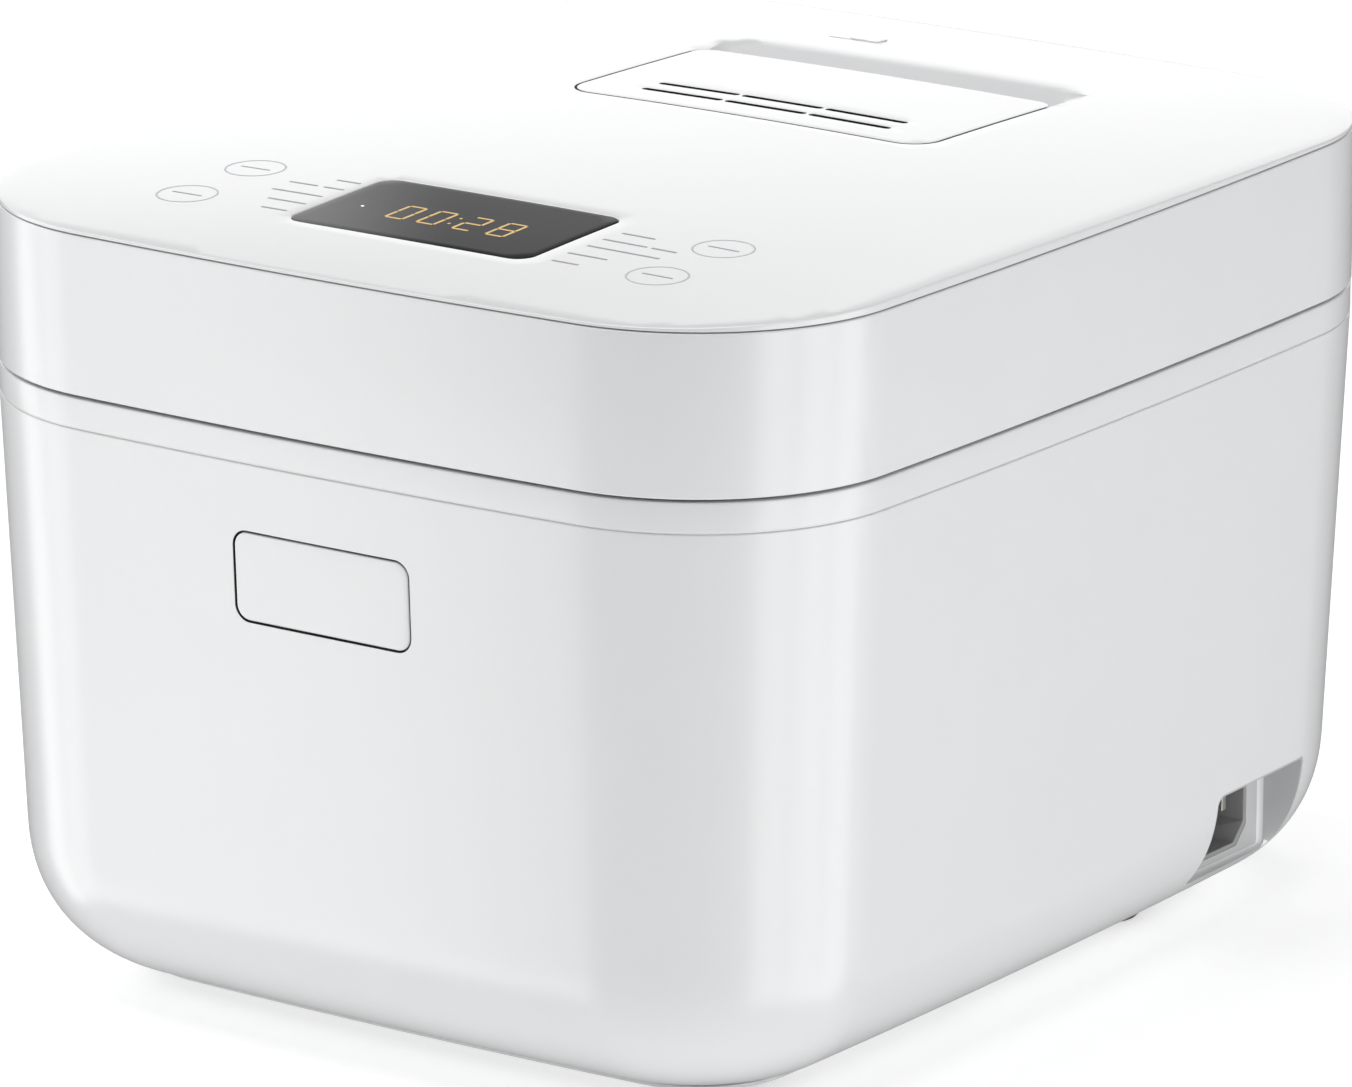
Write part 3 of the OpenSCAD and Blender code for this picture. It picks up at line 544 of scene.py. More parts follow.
# A lighter tone is painted on the glass towards its front left corner, in place of a reflection.
GLASS_FADE_START, GLASS_FADE_END = 60, 106
GLASS_LIGHT = (0.16, 0.16, 0.16)
fade(looks["dark_glass"], (-0.8, -0.6, 0), GLASS_FADE_START, GLASS_FADE_END, GLASS_LIGHT)

# ---------- camera ----------
CAMERA_AZIMUTH = math.radians(34.894)
CAMERA_ELEVATION = math.radians(15.945)
CAMERA_ROLL = math.radians(0.065)
CAMERA_DISTANCE = 2630.2
CAMERA_SLIDE = (-2.35, -61.0)
SENSOR = 36
LENS = 265.69

sin_a, cos_a = math.sin(CAMERA_AZIMUTH), math.cos(CAMERA_AZIMUTH)
sin_e, cos_e = math.sin(CAMERA_ELEVATION), math.cos(CAMERA_ELEVATION)
back = Vector((sin_a * cos_e, -cos_a * cos_e, sin_e))
right = Vector((cos_a, sin_a, 0))
up = back.cross(right)
right_r = right * math.cos(CAMERA_ROLL) + up * math.sin(CAMERA_ROLL)
up_r = up * math.cos(CAMERA_ROLL) - right * math.sin(CAMERA_ROLL)
eye = back * CAMERA_DISTANCE + right_r * CAMERA_SLIDE[0] + up_r * CAMERA_SLIDE[1]
camera_data = bpy.data.cameras.new("camera")
camera_data.sensor_width = SENSOR
camera_data.lens = LENS
camera_data.clip_start = 0.1
camera_data.clip_end = 60
camera = bpy.data.objects.new("camera", camera_data)
pose = Matrix((right_r, up_r, back)).transposed().to_4x4()
pose.translation = (eye + Vector((0, 0, SEAM_Z))) * MM
camera.matrix_world = pose
bpy.context.scene.collection.objects.link(camera)
bpy.context.scene.camera = camera

# ---------- body shell ----------
BELLY_END = 80  # degrees of the roll, at the shell's lower edge
belly = np.radians(np.linspace(0, BELLY_END, 30))
TOP_EDGE = 0.5


def belly_ring(angle, depth=0.0):
    z = SHELL_Z0 + BELLY_R * (1 - math.sin(angle) ** BELLY_POWER)
    roll = BELLY_R * (1 - math.cos(angle) ** BELLY_POWER)
    return at(body_ring(z, roll, depth * math.cos(angle)), z + depth * math.sin(angle))


wall_heights = np.linspace(SHELL_Z1 - TOP_EDGE, SHELL_Z0 + BELLY_R, 16)[:-1]
edge_turn = np.radians(np.linspace(90, 0, 6))[:-1]
shell_rings = [
    at(body_ring(SHELL_Z1, 0, TOP_EDGE * (1 - math.cos(a))),
       SHELL_Z1 - TOP_EDGE * (1 - math.sin(a)))
    for a in edge_turn
]
shell_rings += [at(body_ring(z), z) for z in wall_heights]
shell_rings += [belly_ring(a) for a in belly]
shell_rings += [belly_ring(a, WALL) for a in belly[::-3]]
shell_rings += [at(body_ring(SHELL_Z1, 0, WALL), SHELL_Z1)]
shell = make("shell", loft(shell_rings[::-1], closed=True), "cooker", WHITE,
             ["body_shell"])

BUTTON_W = button_high.x * 2
BUTTON_H = button_high.z - button_low.z
BUTTON_Z = (button_high.z + button_low.z) / 2
BUTTON_R = 4.0
recess_low, recess_high = box_mm("inlet_panel")
PANEL_BACK, PANEL_SIDE = 2, 1.5  # thickness of the recess behind and beside the opening
INLET_X = recess_low.x + PANEL_BACK
INLET_Y0, INLET_Y1 = recess_low.y + PANEL_SIDE, recess_high.y - PANEL_SIDE
INLET_Z1 = recess_high.z - PANEL_SIDE
INLET_Z0 = 16.4
LIP = 0.5
LIP_GAP = 0.08


def upright(loop, y0, y1):
    """A prism along Y over a loop of (x, z)."""
    return loft([np.column_stack([loop[:, 0], np.full(len(loop), y), loop[:, 1]])
                 for y in (y1, y0)])


def sideways(loop, x0, x1):
    """A prism along X over a loop of (y, z)."""
    return loft([np.column_stack([np.full(len(loop), x), loop]) for x in (x0, x1)])


def inlet_outline(grow):
    """The opening's outline in (y, z), moved outwards by grow."""
    return rounded(
        [(INLET_Y0 - grow, INLET_Z0 - grow), (INLET_Y1 + grow, INLET_Z0 - grow),
         (INLET_Y1 + grow, INLET_Z1 + grow), (INLET_Y0 - grow, INLET_Z1 + grow)],
        [2.0 + grow, 2.0 + grow, 0.8 + grow, 2.6 + grow], 6)


def slot_shape(w, h, r, z):
    """A rounded rectangle in the middle of the front wall, at height z."""
    return rectangle(-w / 2, w / 2, z - h / 2, z + h / 2, r, r)


BUTTON_GAP = 0.5
button_hole = slot_shape(BUTTON_W + 2 * BUTTON_GAP, BUTTON_H + 2 * BUTTON_GAP,
                         BUTTON_R + BUTTON_GAP, BUTTON_Z)
cut(shell,
    upright(button_hole, -HALF_D - 8, -HALF_D + 12),
    sideways(inlet_outline(LIP + LIP_GAP), INLET_X - PANEL_BACK - 0.3, HALF_W + 8))


# ---------- deck ----------
def round_to(loop, r):
    """The loop's points moved to a circle, keeping their directions."""
    return loop * (r / np.linalg.norm(loop, axis=1))[:, None]


POT_FLANGE = 5
POT_R = pot_high.x - POT_FLANGE
DECK_R = POT_R + 6
COLLAR_R = POT_R + 8
LEDGE_Z = SEAM_Z - 4.4
DECK_Z0 = SHELL_Z1 + GAP
around = outline(BAND_STEP)
outer_profile = rounded(
    [(WALL + 1, SHELL_Z1 + 0.05), (BAND_STEP + 0.4, SHELL_Z1 + 0.05), (BAND_STEP + 0.4, DECK_Z0),
     (BAND_STEP, DECK_Z0), (BAND_STEP, DECK_Z1), (WALL + 6, DECK_Z1)],
    [0, 0, 0, 0.35, 0.5, 0], 4)
deck_rings = [at(outline(inset), z) for inset, z in outer_profile]
inner_profile = rounded(
    [(COLLAR_R + 3, DECK_Z1), (DECK_R, DECK_Z1), (DECK_R, LEDGE_Z), (POT_R + 1.2, LEDGE_Z),
     (POT_R + 1.2, SHELL_Z1 - 2), (COLLAR_R, SHELL_Z1 - 2), (COLLAR_R, DECK_Z1 - 3)],
    [0, 1.2, 0.6, 0.5, 0, 0, 0], 4)
deck_rings += [at(round_to(around, r), z) for r, z in inner_profile]
deck_rings += [at(outline(WALL + 1), DECK_Z1 - 3)]
deck = make("deck_top", loft(deck_rings, closed=True), "cooker", WHITE, ["deck"])
HOOK_SLOT_HALF = 9
HOOK_SLOT_FRONT, HOOK_SLOT_REAR = -154.5, -140.5
cut(deck, block(-HOOK_SLOT_HALF, HOOK_SLOT_HALF, HOOK_SLOT_FRONT, HOOK_SLOT_REAR,
                SHELL_Z1 - 1, SEAM_Z + 10))

# ---------- open button ----------
def front_y(x, z):
    """Where the front wall's outer face lies at x and height z."""
    inset = BAND_STEP + FRONT_TAPER * (SHELL_Z1 - z)
    return BOW_Y - np.sqrt((FRONT_BOW_R - inset) ** 2 - x**2)


BUTTON_THICK = 4.5
face, face_faces = plate(
    slot_shape(BUTTON_W, BUTTON_H, BUTTON_R, BUTTON_Z), [],
    lambda x, z: -front_y(x, z), lambda x, z: -front_y(x, z) - BUTTON_THICK, edge=0.6, grid=3)
face = np.column_stack([face[:, 0], -face[:, 2], face[:, 1]])
STEM_END = button_high.y
STEM_R, STEM_TIP_R, STEM_BEVEL = 3.2, 2.4, 0.8
stem_y = [-HALF_D + 4, STEM_END - STEM_BEVEL, STEM_END]
stem_r = [STEM_R, STEM_R, STEM_TIP_R]
stem = loft([
    np.column_stack([c[:, 0], np.full(len(c), y), c[:, 1]])
    for c, y in ((circle(0, BUTTON_Z, r, 32), y) for r, y in zip(stem_r[::-1], stem_y[::-1]))
])
make("button", joined((face, face_faces), stem), "button", WHITE, ["open_button"])


# The ring fills a seam or slot with near black, as painted shade.
def shade_ring(outer, inner, top, depth):
    """A closed ring between two loops of equal length, with its top at the height given."""
    rings = []
    for loop, drop in ((outer, 0), (inner, 0), (inner, depth), (outer, depth)):
        rings.append(at(loop, top(loop[:, 0], loop[:, 1]) - drop))
    return loft(rings, closed=True)


# A near-black strip sits in the button's seam, a painted shade where the gap falls dark.
GAP_SHADE_WIDTH = 0.3
button_shade, button_shade_faces = shade_ring(
    shrink(button_hole, 0.02), shrink(button_hole, GAP_SHADE_WIDTH), lambda x, z: -front_y(x, z) - 0.12, 1.6)
button_shade = np.column_stack([button_shade[:, 0], -button_shade[:, 2], button_shade[:, 1]])
make("button_gap_shade", (button_shade, button_shade_faces), "cooker", looks["gap_shade"])

# ---------- lid wall ----------
skirt_profile = rounded(
    [(WALL, LID_Z0), (0, LID_Z0), (0, skirt_high.z), (WALL, skirt_high.z)], [0.3, 0.6, 0.5, 0.2], 4)
skirt = make("lid_wall", loft([at(outline(i), z) for i, z in skirt_profile], closed=True), "lid",
             WHITE, ["lid_skirt"])
HINGE_Y = HALF_D - 6
HINGE_Z = SEAM_Z + 9
NOTCH_HALF = 50
NOTCH_Z = HINGE_Z + 7.5
# The wall's lower rear edge is cut back along an arc about the hinge, so that the lid can turn.
TURN_R = 8.5
BEYOND, BELOW = HALF_D + 20, SEAM_Z - 8
clear_arc = [
    (HINGE_Y + TURN_R * math.cos(a), HINGE_Z + TURN_R * math.sin(a))
    for a in np.radians(np.linspace(-90, 0, 16))
]
clear_loop = np.array(clear_arc + [(BEYOND, HINGE_Z), (BEYOND, BELOW), (HINGE_Y, BELOW)])
cut(skirt,
    sideways(clear_loop, HALF_W + 2, -HALF_W - 2),
    block(-NOTCH_HALF, NOTCH_HALF, HINGE_Y - 12, HALF_D + 20, SEAM_Z - 5, NOTCH_Z))

# ---------- lid top, with the finger scoop and the shallow dish behind it ----------
VENT_GAP = 0.6
VENT_REAR_R = 5.0
cap_half = cap_high.x
vent_y0, vent_y1 = cap_low.y, cap_high.y
SCOOP_Y = 109
SCOOP_DEPTH = 5.0
VENT_SIDE_GAP = 0.45
SCOOP_HALF = cap_half + VENT_SIDE_GAP
SCOOP_CORNER = 14
SCOOP_SLOPE = SCOOP_DEPTH / (SCOOP_Y - vent_y1)
SCOOP_END_SLOPE = 0.9
DISH_X, DISH_Y = -10.5, 130
DISH_HALF_W, DISH_HALF_D, DISH_DEPTH = 28.5, 6, 0.45


def scoop(x, y):
    """Depth of the scoop: a straight ramp from its rear rim, with steeper rounded ends."""
    dx = np.abs(x) - (SCOOP_HALF - SCOOP_CORNER)
    dy = y - (SCOOP_Y - SCOOP_CORNER)
    outside = np.hypot(np.maximum(dx, 0), np.maximum(dy, 0)) + np.minimum(np.maximum(dx, dy), 0)
    ends = SCOOP_END_SLOPE * np.maximum(SCOOP_CORNER - outside, 0)
    ramp = SCOOP_SLOPE * np.maximum(SCOOP_Y - y, 0)
    lower = np.minimum(ends, ramp)
    blend = np.clip(1 - np.abs(ends - ramp) / 1.2, 0, 1) ** 2 * 0.3
    depth = np.maximum(lower - blend * np.clip(lower, 0, 1), 0)
    return depth * np.clip((y - vent_y1 + VENT_REAR_R) / 4, 0, 1)


def dish(x, y):
    """A shallow dish near the rear of the lid."""
    across = (x - DISH_X) / DISH_HALF_W
    along = (y - DISH_Y) / DISH_HALF_D
    return DISH_DEPTH * np.clip(1 - across**2 - along**2, 0, 1) ** 1.5


def lid_z(x, y):
    """Height of the lid's crown, without its hollows."""
    return LID_Z1 + crown_z(x, y)


def lid_face(x, y):
    return lid_z(x, y) - scoop(x, y) - dish(x, y)


window_half = window_high.x
window_y0, window_y1 = window_low.y, window_high.y
WINDOW_R = 4.8
WINDOW_GAP = 0.15
VENT_FRONT_R = 8.6
window_hole = rectangle(-window_half - WINDOW_GAP, window_half + WINDOW_GAP,
                        window_y0 - WINDOW_GAP, window_y1 + WINDOW_GAP,
                        WINDOW_R + WINDOW_GAP, WINDOW_R + WINDOW_GAP)
vent_hole = rectangle(-SCOOP_HALF, SCOOP_HALF, vent_y0 - VENT_GAP, vent_y1 + VENT_GAP,
                      VENT_FRONT_R + VENT_GAP, VENT_REAR_R + VENT_GAP)
scoop_loop = rectangle(-SCOOP_HALF, SCOOP_HALF, vent_y1 - 6, SCOOP_Y, 0.4, SCOOP_CORNER)
behind = vent_y1 + VENT_GAP + 0.6
RAMP_GRID = 1.5
gx, gy = np.meshgrid(np.arange(-SCOOP_HALF + 1, SCOOP_HALF, RAMP_GRID),
                     np.arange(behind, SCOOP_Y - 1, RAMP_GRID))
ramp_points = np.column_stack([gx.ravel(), gy.ravel()])
ramp_points = ramp_points[inside(ramp_points, shrink(scoop_loop, 1.2))]
ramp_points = ramp_points[~inside(ramp_points, shrink(vent_hole, -1.4))]


def lid_under(x, y):
    """Height of the panel's underside, which drops below the scoop."""
    flat = np.maximum(lid_z(x, y) - 2.4, LID_Z1)
    return np.minimum(flat, lid_face(x, y) - 1.5 * (scoop(x, y) > 0))


lid_shape = plate(
    outline(0.3), [resample(window_hole, 5), resample(vent_hole, 4)], lid_face, lid_under,
    edge=0.5, grid=5, dense=ramp_points)
make("lid_panel", lid_shape, "lid", WHITE, ["lid_top"])

# ---------- display ----------
window_shape = plate(
    resample(rectangle(-window_half, window_half, window_y0, window_y1, WINDOW_R, WINDOW_R), 4), [],
    lambda x, y: lid_z(x, y), lambda x, y: lid_z(x, y) - 1.6, edge=0.3, grid=5)
make("window", window_shape, "lid", looks["dark_glass"], ["display_window"])

SEGMENTS = {"0": "abcdef", "2": "abged", "8": "abcdefg"}
DIGIT_W, DIGIT_H, STROKE = 5.3, 11.0, 0.8
DIGIT_Y = -104.8
DIGIT_X = (-13.6, -3.8, 7.4, 17.9)
COLON_X, COLON_HALF_H = 1.8, 2.6
DOT_X, DOT_Y, DOT_R = -27.1, -105.3, 0.25


def window_z(x, y):
    return lid_z(x, y) + 0.03


def segment(x, y, kind):
    """One lit bar of a digit whose middle is at x, y."""
    w, h, s = DIGIT_W / 2, DIGIT_H / 2, STROKE * 0.3
    ends = {
        "a": ((-w + s, h), (w - s, h)), "g": ((-w + s, 0), (w - s, 0)),
        "d": ((-w + s, -h), (w - s, -h)),
        "f": ((-w, s), (-w, h - s)), "b": ((w, s), (w, h - s)),
        "e": ((-w, -h + s), (-w, -s)), "c": ((w, -h + s), (w, -s)),
    }[kind]
    start, end = (np.array(e) + (x, y) for e in ends)
    return ribbon([start, (start + end) / 2, end], STROKE, window_z, thick=0.03)


digits = [
    segment(x, DIGIT_Y, kind) for x, number in zip(DIGIT_X, "0028") for kind in SEGMENTS[number]
]
digits += [
    ribbon([(COLON_X - 0.4, DIGIT_Y + dy), (COLON_X, DIGIT_Y + dy), (COLON_X + 0.4, DIGIT_Y + dy)],
           STROKE, window_z, thick=0.03)
    for dy in (-COLON_HALF_H, COLON_HALF_H)
]
make("clock_digits", joined(*digits), "lid", looks["led"])
make("window_dot", ribbon(circle(DOT_X, DOT_Y, DOT_R, 16), 0.4, window_z, True, 0.03), "lid",
     looks["light_dot"])

# ---------- printed touch marks ----------
TOUCH_R = 7.9
TOUCH_X = 73.8
TOUCH_DASH = 4.6
marks, rings = [], []
for side in (-1, 1):
    for y in (-118, -89):
        rings.append(ribbon(circle(side * TOUCH_X, y, TOUCH_R, 64), 0.5, lid_z, True))
        dash = [(side * TOUCH_X + dx, y) for dx in (-TOUCH_DASH, 0, TOUCH_DASH)]
        marks.append(ribbon(dash, 0.6, lid_z))
# Dashes between the rings and the display: how far back each is, then where it starts and ends,
# outwards from the middle.
right_rows = [(-120.7, 43.5, 51.5), (-113.2, 43, 55), (-105.4, 43.5, 65.5), (-98.6, 43.5, 57),
              (-98.6, 58.5, 66), (-91.5, 44.5, 54.5)]
left_rows = [(-118.5, 41.4, 49.4), (-111, 41, 53), (-103.3, 41.4, 57.4), (-95.4, 40.4, 46.8),
             (-95.4, 49, 57.7), (-88.3, 40.4, 47.9)]
for side, rows in ((1, right_rows), (-1, left_rows)):
    for y, x0, x1 in rows:
        ends = sorted((side * x0, side * x1))
        middle = (ends[0] + ends[1]) / 2
        marks.append(ribbon([(ends[0], y), (middle, y), (ends[1], y)], 0.85, lid_z, thick=0.04))
make("touch_marks", joined(*marks), "lid", looks["ink"])
make("touch_rings", joined(*rings), "lid", looks["pale_ink"])

# ---------- steam vent ----------
SLOT_W, SLOT_H, SLOT_PITCH, SLOT_R = 25.6, 2.1, 26.9, 1.04
SLOT_ROWS = (37.3, 45.3)
slots = [
    rectangle(x * SLOT_PITCH - SLOT_W / 2, x * SLOT_PITCH + SLOT_W / 2,
              y - SLOT_H / 2, y + SLOT_H / 2, SLOT_R, SLOT_R, 6)
    for x in (-1, 0, 1) for y in SLOT_ROWS
]
cap_top = plate(
    resample(rectangle(-cap_half, cap_half, vent_y0, vent_y1, VENT_FRONT_R, VENT_REAR_R), 4), slots,
    lambda x, y: lid_z(x, y), lambda x, y: LID_Z1 + 0.4 + 0 * x, edge=0.25, grid=5)
CAP_WALL = 1.5
CAP_MOUTH = 16  # from the box's inner wall to the opening in its floor
box_outer = rectangle(-cap_half + 4, cap_half - 4, vent_y0 + 3.5, vent_y1 - 3.5, 6, 6)
box_inner = shrink(box_outer, CAP_WALL)
floor_z = cap_low.z
cap_box = loft([
    at(box_outer, LID_Z1 + 0.6), at(box_inner, LID_Z1 + 0.6), at(box_inner, floor_z + CAP_WALL),
    at(shrink(box_inner, CAP_MOUTH), floor_z + CAP_WALL), at(shrink(box_inner, CAP_MOUTH), floor_z),
    at(box_outer, floor_z),
], closed=True)
make("vent_panel", joined(cap_top, cap_box), "vent", WHITE, ["vent_cap"])
# Near-black strips fill the vent slots, a painted shade for their dark insides.
slot_shades = [
    shade_ring(shrink(hole, -0.25), shrink(hole, 0.35), lambda x, y: lid_z(x, y) - 0.05, 3.0)
    for hole in slots
]
make("vent_slot_shade", joined(*slot_shades), "vent", looks["gap_shade"])


def rim_strip(loop, height, gap, width, depth):
    """A thin strip along an open plan line, from gap to gap + width on its left side."""
    d = np.gradient(loop, axis=0)
    d /= np.linalg.norm(d, axis=1)[:, None]
    side = np.column_stack([-d[:, 1], d[:, 0]])
    near, far = loop + side * gap, loop + side * (gap + width)
    rails = []
    for line, drop in ((near, depth), (far, depth), (far, 0), (near, 0)):
        rails.append(at(line, height(line[:, 0], line[:, 1]) - drop))
    return loft([np.array([rail[k] for rail in rails]) for k in range(len(loop))])


# A near-black strip in the seam round the vent panel paints the shade in that gap.
# The strip leaves out the rear, where the scoop is, so it runs from one rear corner to the other.
rim = resample(vent_hole, 4)
at_rear = rim[:, 1] > vent_y1 - VENT_REAR_R
start = int(np.argmax((rim[:, 0] < 0) & np.roll(at_rear, 1) & ~at_rear))
rim, at_rear = np.roll(rim, -start, 0), np.roll(at_rear, -start)
rim = rim[: int(np.argmax((rim[:, 0] > 0) & at_rear))]
make("vent_gap_shade", rim_strip(rim, lambda x, y: lid_z(x, y) - 0.05, -0.2, 0.7, 1.5), "lid",
     looks["gap_shade"])

# ---------- small tab behind the scoop ----------
TAB_X0, TAB_X1, TAB_Y0, TAB_Y1 = -34, -24.5, 127.2, 133
TAB_RISE = 0.35
TAB_LINE = [(-39.5, 126.1), (-31, 126.3), (-22.5, 126.6)]
tab = plate(rectangle(TAB_X0, TAB_X1, TAB_Y0, TAB_Y1, 1.2, 1.2, 5), [],
            lambda x, y: lid_face(x, y) + TAB_RISE, lambda x, y: lid_face(x, y) - 0.6,
            edge=0.3, grid=2)
make("lid_tab", tab, "lid", WHITE)
make("lid_tab_line", ribbon(TAB_LINE, 0.35, lambda x, y: lid_face(x, y) + 0.01), "lid",
     looks["ink"])

# ---------- power inlet recess ----------
SOCKET_Y, SOCKET_Z = 85, 29
SOCKET_RIM = 1.3
SOCKET_HALF_W, SOCKET_HALF_H = 24.4 / 2 + SOCKET_RIM, 16.9 / 2 + SOCKET_RIM
SOCKET_CUT = 5.0
FILLET = 1.6
FLOOR_FILLET, ROOF_FILLET = 1.2, 0.9
REAR_DRAFT = 1.4
RAYS = 180


def cast(loop):
    """Where rays at even angles from the socket's middle meet a loop of (y, z)."""
    middle = np.array([SOCKET_Y, SOCKET_Z])
    hits = []
    for a in np.linspace(0, 2 * math.pi, RAYS, endpoint=False):
        d = np.array([math.cos(a), math.sin(a)])
        p, e = loop - middle, np.roll(loop, -1, 0) - loop
        den = d[0] * e[:, 1] - d[1] * e[:, 0]
        den = np.where(np.abs(den) < 1e-12, 1e-12, den)
        t = (p[:, 0] * e[:, 1] - p[:, 1] * e[:, 0]) / den
        s = (p[:, 0] * d[1] - p[:, 1] * d[0]) / den
        hits.append(middle + d * t[(t > 0) & (s >= -1e-9) & (s <= 1 + 1e-9)].min())
    return np.array(hits)


def side_x(y, z):
    """Where the right wall's outer face lies."""
    rise = (z - SHELL_Z0) / BELLY_R
    angle = math.asin(max(0.0, 1 - rise) ** (1 / BELLY_POWER)) if rise < 1 else 0.0
    ring = belly_ring(angle)[:, :2] if rise < 1 else body_ring(z)
    ring = ring[ring[:, 0] > HALF_W - 60]
    order = np.argsort(ring[:, 1])
    return float(np.interp(y, ring[order, 1], ring[order, 0]))


def recess_line(part):
    """The recess outline, moved inwards by a part of its fillets."""
    d, low, high = FILLET * part, FLOOR_FILLET * part, ROOF_FILLET * part
    rear = INLET_Y1 - REAR_DRAFT - d
    corners = [(INLET_Y0 + d, INLET_Z0 + low), (rear, INLET_Z0 + low),
               (rear, INLET_Z1 - high), (INLET_Y0 + d, INLET_Z1 - high)]
    return cast(rounded(corners, [2.0 - 1.4 * part, 2.0 - 1.4 * part, 0.8, 2.6 - 2 * part], 6))


def recess_ring(loop, x):
    return np.column_stack([np.broadcast_to(x, len(loop)), loop])


w, h = SOCKET_HALF_W, SOCKET_HALF_H
socket_loop = np.array([(-w, h), (-w, SOCKET_CUT - h), (SOCKET_CUT - w, -h), (w - SOCKET_CUT, -h),
                        (w, SOCKET_CUT - h), (w, h)]) + [SOCKET_Y, SOCKET_Z]
socket_edge = cast(socket_loop)
recess_wall, lip_edge = cast(inlet_outline(0)), cast(inlet_outline(LIP))
LIP_SINK = 0.12  # how far the recess's lip lies behind the wall's face
mouth_x = np.array([side_x(y, z) for y, z in recess_wall]) - LIP_SINK
lip_x = np.array([side_x(y, z) for y, z in lip_edge]) - LIP_SINK
recess = [recess_ring(socket_edge, INLET_X - PANEL_BACK), recess_ring(socket_edge, INLET_X)]
for a in np.radians(np.linspace(0, 90, 9)):
    x = np.minimum(INLET_X + FILLET * (1 - math.cos(a)), mouth_x - 0.05)
    recess.append(recess_ring(recess_line(1 - math.sin(a)), x))
recess += [recess_ring(recess_wall, mouth_x), recess_ring(lip_edge, lip_x)]
recess += [recess_ring(lip_edge, np.minimum(lip_x - 0.5, INLET_X - PANEL_BACK))]
inlet = make("inlet_recess", loft(recess[::-1], closed=True), "cooker", looks["panel_grey"],
             ["inlet_panel"])
# The fillet and the floor are painted lighter than the rest of the recess, a painted highlight where
# they catch the light.
inlet.data.materials.append(looks["panel_painted_highlight"])
for face in inlet.data.polygons:
    middle = face.center / MM
    on_fillet = INLET_X + 0.02 < middle.x < INLET_X + FILLET - 0.2
    on_floor = middle.x > INLET_X + 0.02 and middle.z < INLET_Z0 + FLOOR_FILLET
    face.material_index = int(on_fillet or on_floor)

# ---------- pot ----------
POT_WALL = 2.0
POT_IN = POT_R - POT_WALL
POT_FLOOR = pot_low.z + 2.4
RIM_Z = pot_high.z
pot_profile = rounded(
    [(0.05, POT_FLOOR), (POT_IN, POT_FLOOR), (POT_IN, RIM_Z), (POT_R + POT_FLANGE, RIM_Z),
     (POT_R + POT_FLANGE, RIM_Z - 2), (POT_R, RIM_Z - 2), (POT_R, pot_low.z), (0.05, pot_low.z)],
    [0, 20, 1.0, 0.9, 0.9, 0.8, 22, 0], 14)
make("pot", lathe([tuple(p) for p in pot_profile[::-1]]), "cooker", looks["nonstick"],
     ["inner_pot"])

# Water level marks on the pot's inner wall, long and short in turn.
MARK_ANGLE = math.radians(75)
MARK_FIRST, MARK_PITCH, MARK_HALF_H = 32, 11, 0.4
MARK_R0 = POT_IN - 0.08
MARK_R1 = MARK_R0 + 0.1
level_marks = []
for k in range(8):
    z = POT_FLOOR + MARK_FIRST + k * MARK_PITCH
    sweep = 0.055 if k % 2 else 0.1
    corners = [(MARK_R0, -MARK_HALF_H), (MARK_R0, MARK_HALF_H), (MARK_R1, MARK_HALF_H),
               (MARK_R1, -MARK_HALF_H)]
    level_marks.append(loft([
        np.array([(r * math.cos(t), r * math.sin(t), z + dz) for r, dz in corners])
        for t in np.linspace(MARK_ANGLE - sweep, MARK_ANGLE + sweep, 8)
    ]))
make("level_marks", joined(*level_marks), "cooker", looks["ink"])

# ---------- inner lid ----------
PLATE_Z = LID_Z0 - 3.4
lid_plate = rounded(
    [(3.2, PLATE_Z + 3), (30, PLATE_Z + 3), (34, PLATE_Z + 1.6), (96, PLATE_Z + 1.6),
     (100, PLATE_Z + 4.6), (103.6, PLATE_Z + 4.6), (103.6, PLATE_Z + 6), (99.4, PLATE_Z + 6),
     (95.4, PLATE_Z + 3), (34.6, PLATE_Z + 3), (30.6, PLATE_Z + 4.4), (3.2, PLATE_Z + 4.4)],
    [0, 3, 3, 2, 2, 0, 0, 2, 2, 3, 3, 0], 5)
inner = make("inner_lid_plate", lathe([tuple(p) for p in lid_plate[::-1]]), "lid", looks["aluminium"],
             ["inner_lid"])
STEAM_Y, STEAM_RING, STEAM_R = 60, 4.6, 1.5
PROBE_HOLE = (40, 0, 3.2)
holes = [(STEAM_RING * math.cos(a), STEAM_Y + STEAM_RING * math.sin(a), STEAM_R)
         for a in np.radians(range(0, 360, 60))]
cut(inner, *[loft([at(circle(x, y, r, 24), LID_Z0 - 10), at(circle(x, y, r, 24), LID_Z0 + 10)])
             for x, y, r in holes + [PROBE_HOLE]])
seal = rounded(
    [(96.2, PLATE_Z - 0.2), (106, PLATE_Z + 1), (106, PLATE_Z + 2.2), (104.4, PLATE_Z + 2.6),
     (104.4, PLATE_Z + 7.4), (103.9, PLATE_Z + 7.4), (103.9, PLATE_Z + 4.5), (100.2, PLATE_Z + 4.5),
     (96.6, PLATE_Z + 1.2)],
    [0.2, 0.5, 0.5, 0.4, 0.2, 0.2, 0.3, 0.4, 0.3], 4)
make("lid_seal", lathe([tuple(p) for p in seal[::-1]]), "lid", looks["silicone"],
     ["inner_lid_seal"])

# ---------- springs, copied from their CAD coils ---------------
# Each has its joint, the axis it lies along, and which end of its box is the fixed one.
SPRINGS = {"button_spring": ("open_button_press", 1, 1), "sensor_spring": ("sensor_plunge", 2, 0)}
for name, (joint, along, fixed) in SPRINGS.items():
    source = frame["nodes"][name]
    coil = bpy.data.objects.new(name + "_coil", source.data.copy())
    bpy.context.scene.collection.objects.link(coil)
    coil.matrix_world = source.matrix_world
    coil.data.materials.clear()
    coil.data.materials.append(looks["spring_steel"])
    coil.data.shade_smooth()
    coil.data.set_sharp_from_angle(angle=math.radians(60))
    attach(coil, "cooker")
    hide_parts(name)
    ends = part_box(name)
    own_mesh(coil)

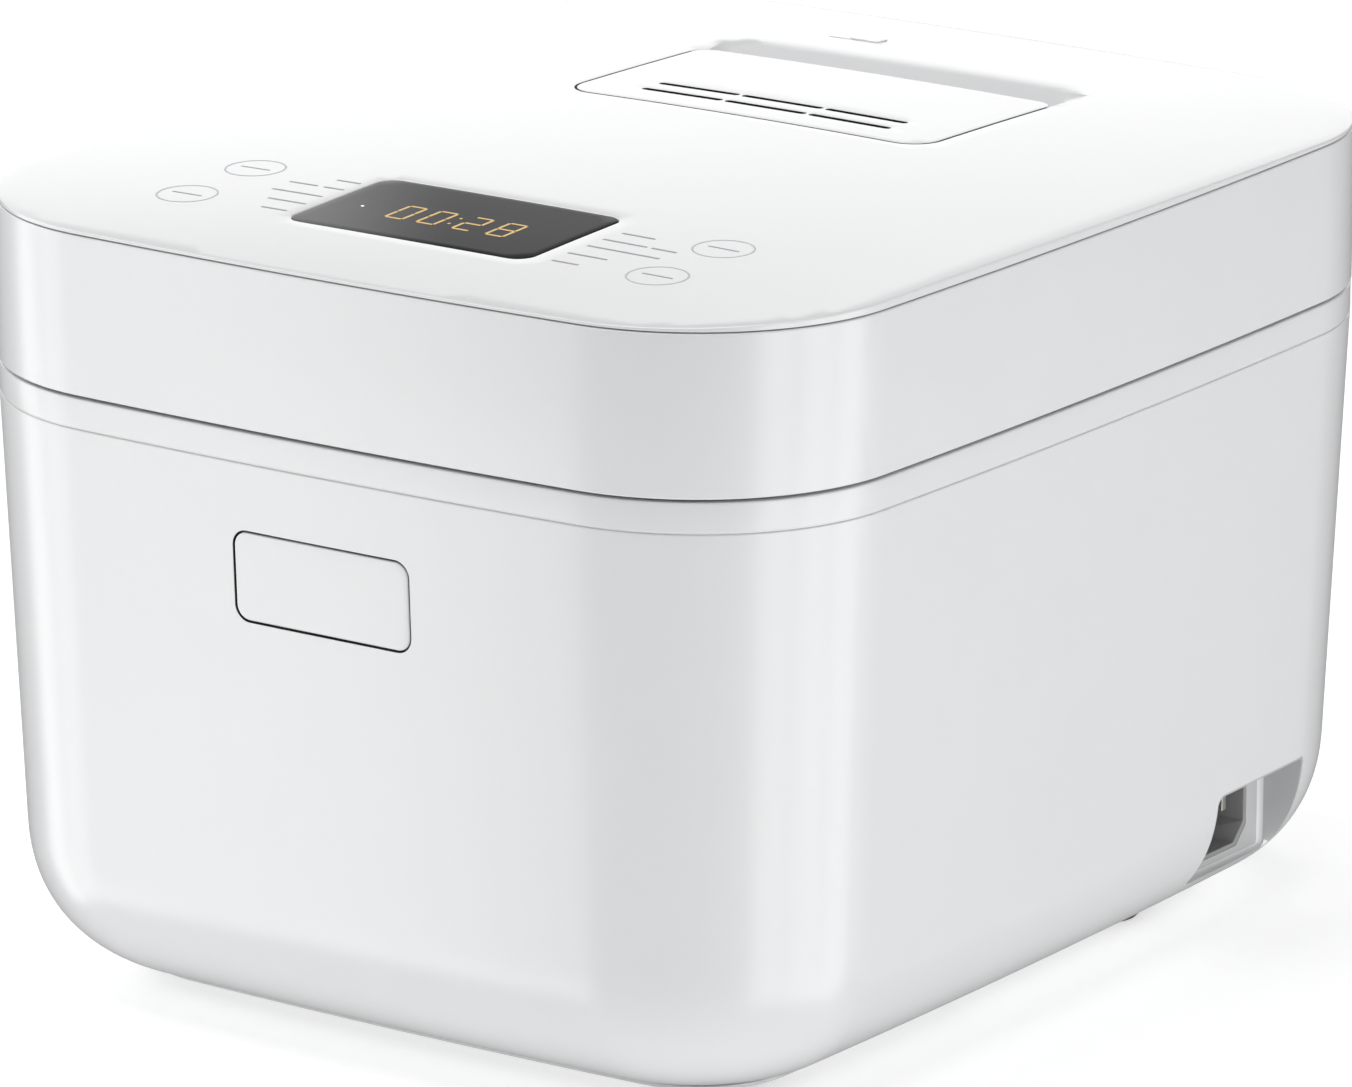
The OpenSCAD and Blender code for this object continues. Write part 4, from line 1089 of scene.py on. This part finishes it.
# ---------- finish the CAD pieces that stay ----------
BEVELS = {"base_cover": 0.4, "feet": 0.5, "power_inlet": 0.25, "hinge_cover": 0.4,
          "hinge_bracket": 0.3, "lid_liner": 0.4, "lid_knuckles": 0.3, "lid_keeper": 0.25,
          "latch_lever": 0.3, "latch_bracket": 0.3, "button_frame": 0.3,
          "power_board": 0.1, "control_board": 0.1,
          "power_parts": 0.4, "inlet_pins": 0.2, "vent_well": 0.4}
slots_of = {s["node"]: s["material_slot"] for s in frame["record"]["subparts"]}
repaint = {"power_inlet": "inlet_grey", "lid_liner": "white_gloss", "hinge_cover": "white_gloss",
           "vent_well": "white_gloss", "base_cover": "panel_grey"}
for name, node in sorted(frame["nodes"].items()):
    if node.hide_render:
        continue
    node.data.materials.clear()
    node.data.materials.append(looks[repaint.get(name, slots_of[name])])
    if name in BEVELS:
        weld = node.modifiers.new("weld", "WELD")
        weld.merge_threshold = 1e-6
        bevel = node.modifiers.new("bevel", "BEVEL")
        bevel.width = BEVELS[name] * MM
        bevel.segments = 2
        bevel.limit_method = "ANGLE"
        bevel.angle_limit = math.radians(40)

# ---------- floor, lights and background ----------
floor_material = surface("floor", (0.7, 0.7, 0.7), 0.75, spread=0.02, tone=0.004, bump=0.0,
                         specular=0.2, glow=((1, 1, 1), 0.5))
FLOOR = 12000
stand = np.array([(-FLOOR, -FLOOR), (FLOOR, -FLOOR), (FLOOR, FLOOR), (-FLOOR, FLOOR)], float)
floor = make("floor", (at(stand, 0.0), [[0, 1, 2, 3]]), None, floor_material)
# The gloss shows the lights that reach below the floor, and the floor lets them through.
floor.visible_glossy = False
floor.visible_shadow = False

world = bpy.data.worlds.new("world")
bpy.context.scene.world = world
world.use_nodes = True
world.node_tree.nodes["Background"].inputs["Color"].default_value = (1, 1, 1, 1)
world.node_tree.nodes["Background"].inputs["Strength"].default_value = 0.2
bpy.context.scene.view_settings.view_transform = "Standard"


def softbox(name, azimuth, elevation, distance, width, height, power):
    """A soft light that faces the middle of the cooker. Azimuth 0 is in front of it."""
    a, e = math.radians(azimuth), math.radians(elevation)
    towards = Vector((math.sin(a) * math.cos(e), -math.cos(a) * math.cos(e), math.sin(e)))
    data = bpy.data.lights.new(name, "AREA")
    data.shape = "RECTANGLE"
    data.size, data.size_y = width, height
    data.energy = power
    light = bpy.data.objects.new(name, data)
    light.location = towards * distance + Vector((0, 0, 0.1))
    light.visible_camera = False
    light.rotation_mode = "QUATERNION"
    light.rotation_quaternion = towards.to_track_quat("Z", "Y")
    bpy.context.scene.collection.objects.link(light)


# Three equal tall strips stand on each side, 20 degrees apart, and reach below the floor.
STRIP_POWER = 3.5
for azimuth in (-75, -55, -35, 70, 90, 110):
    softbox(f"strip_{azimuth}", azimuth, -8, 1.5, 0.42, 1.7, STRIP_POWER)
softbox("top_box", 0, 84, 1.8, 1.6, 1.6, 20)
softbox("left_top_box", -90, 45, 1.8, 1.2, 1.2, 8)
softbox("rear_box", 215, 14, 1.8, 2.0, 0.7, 5)
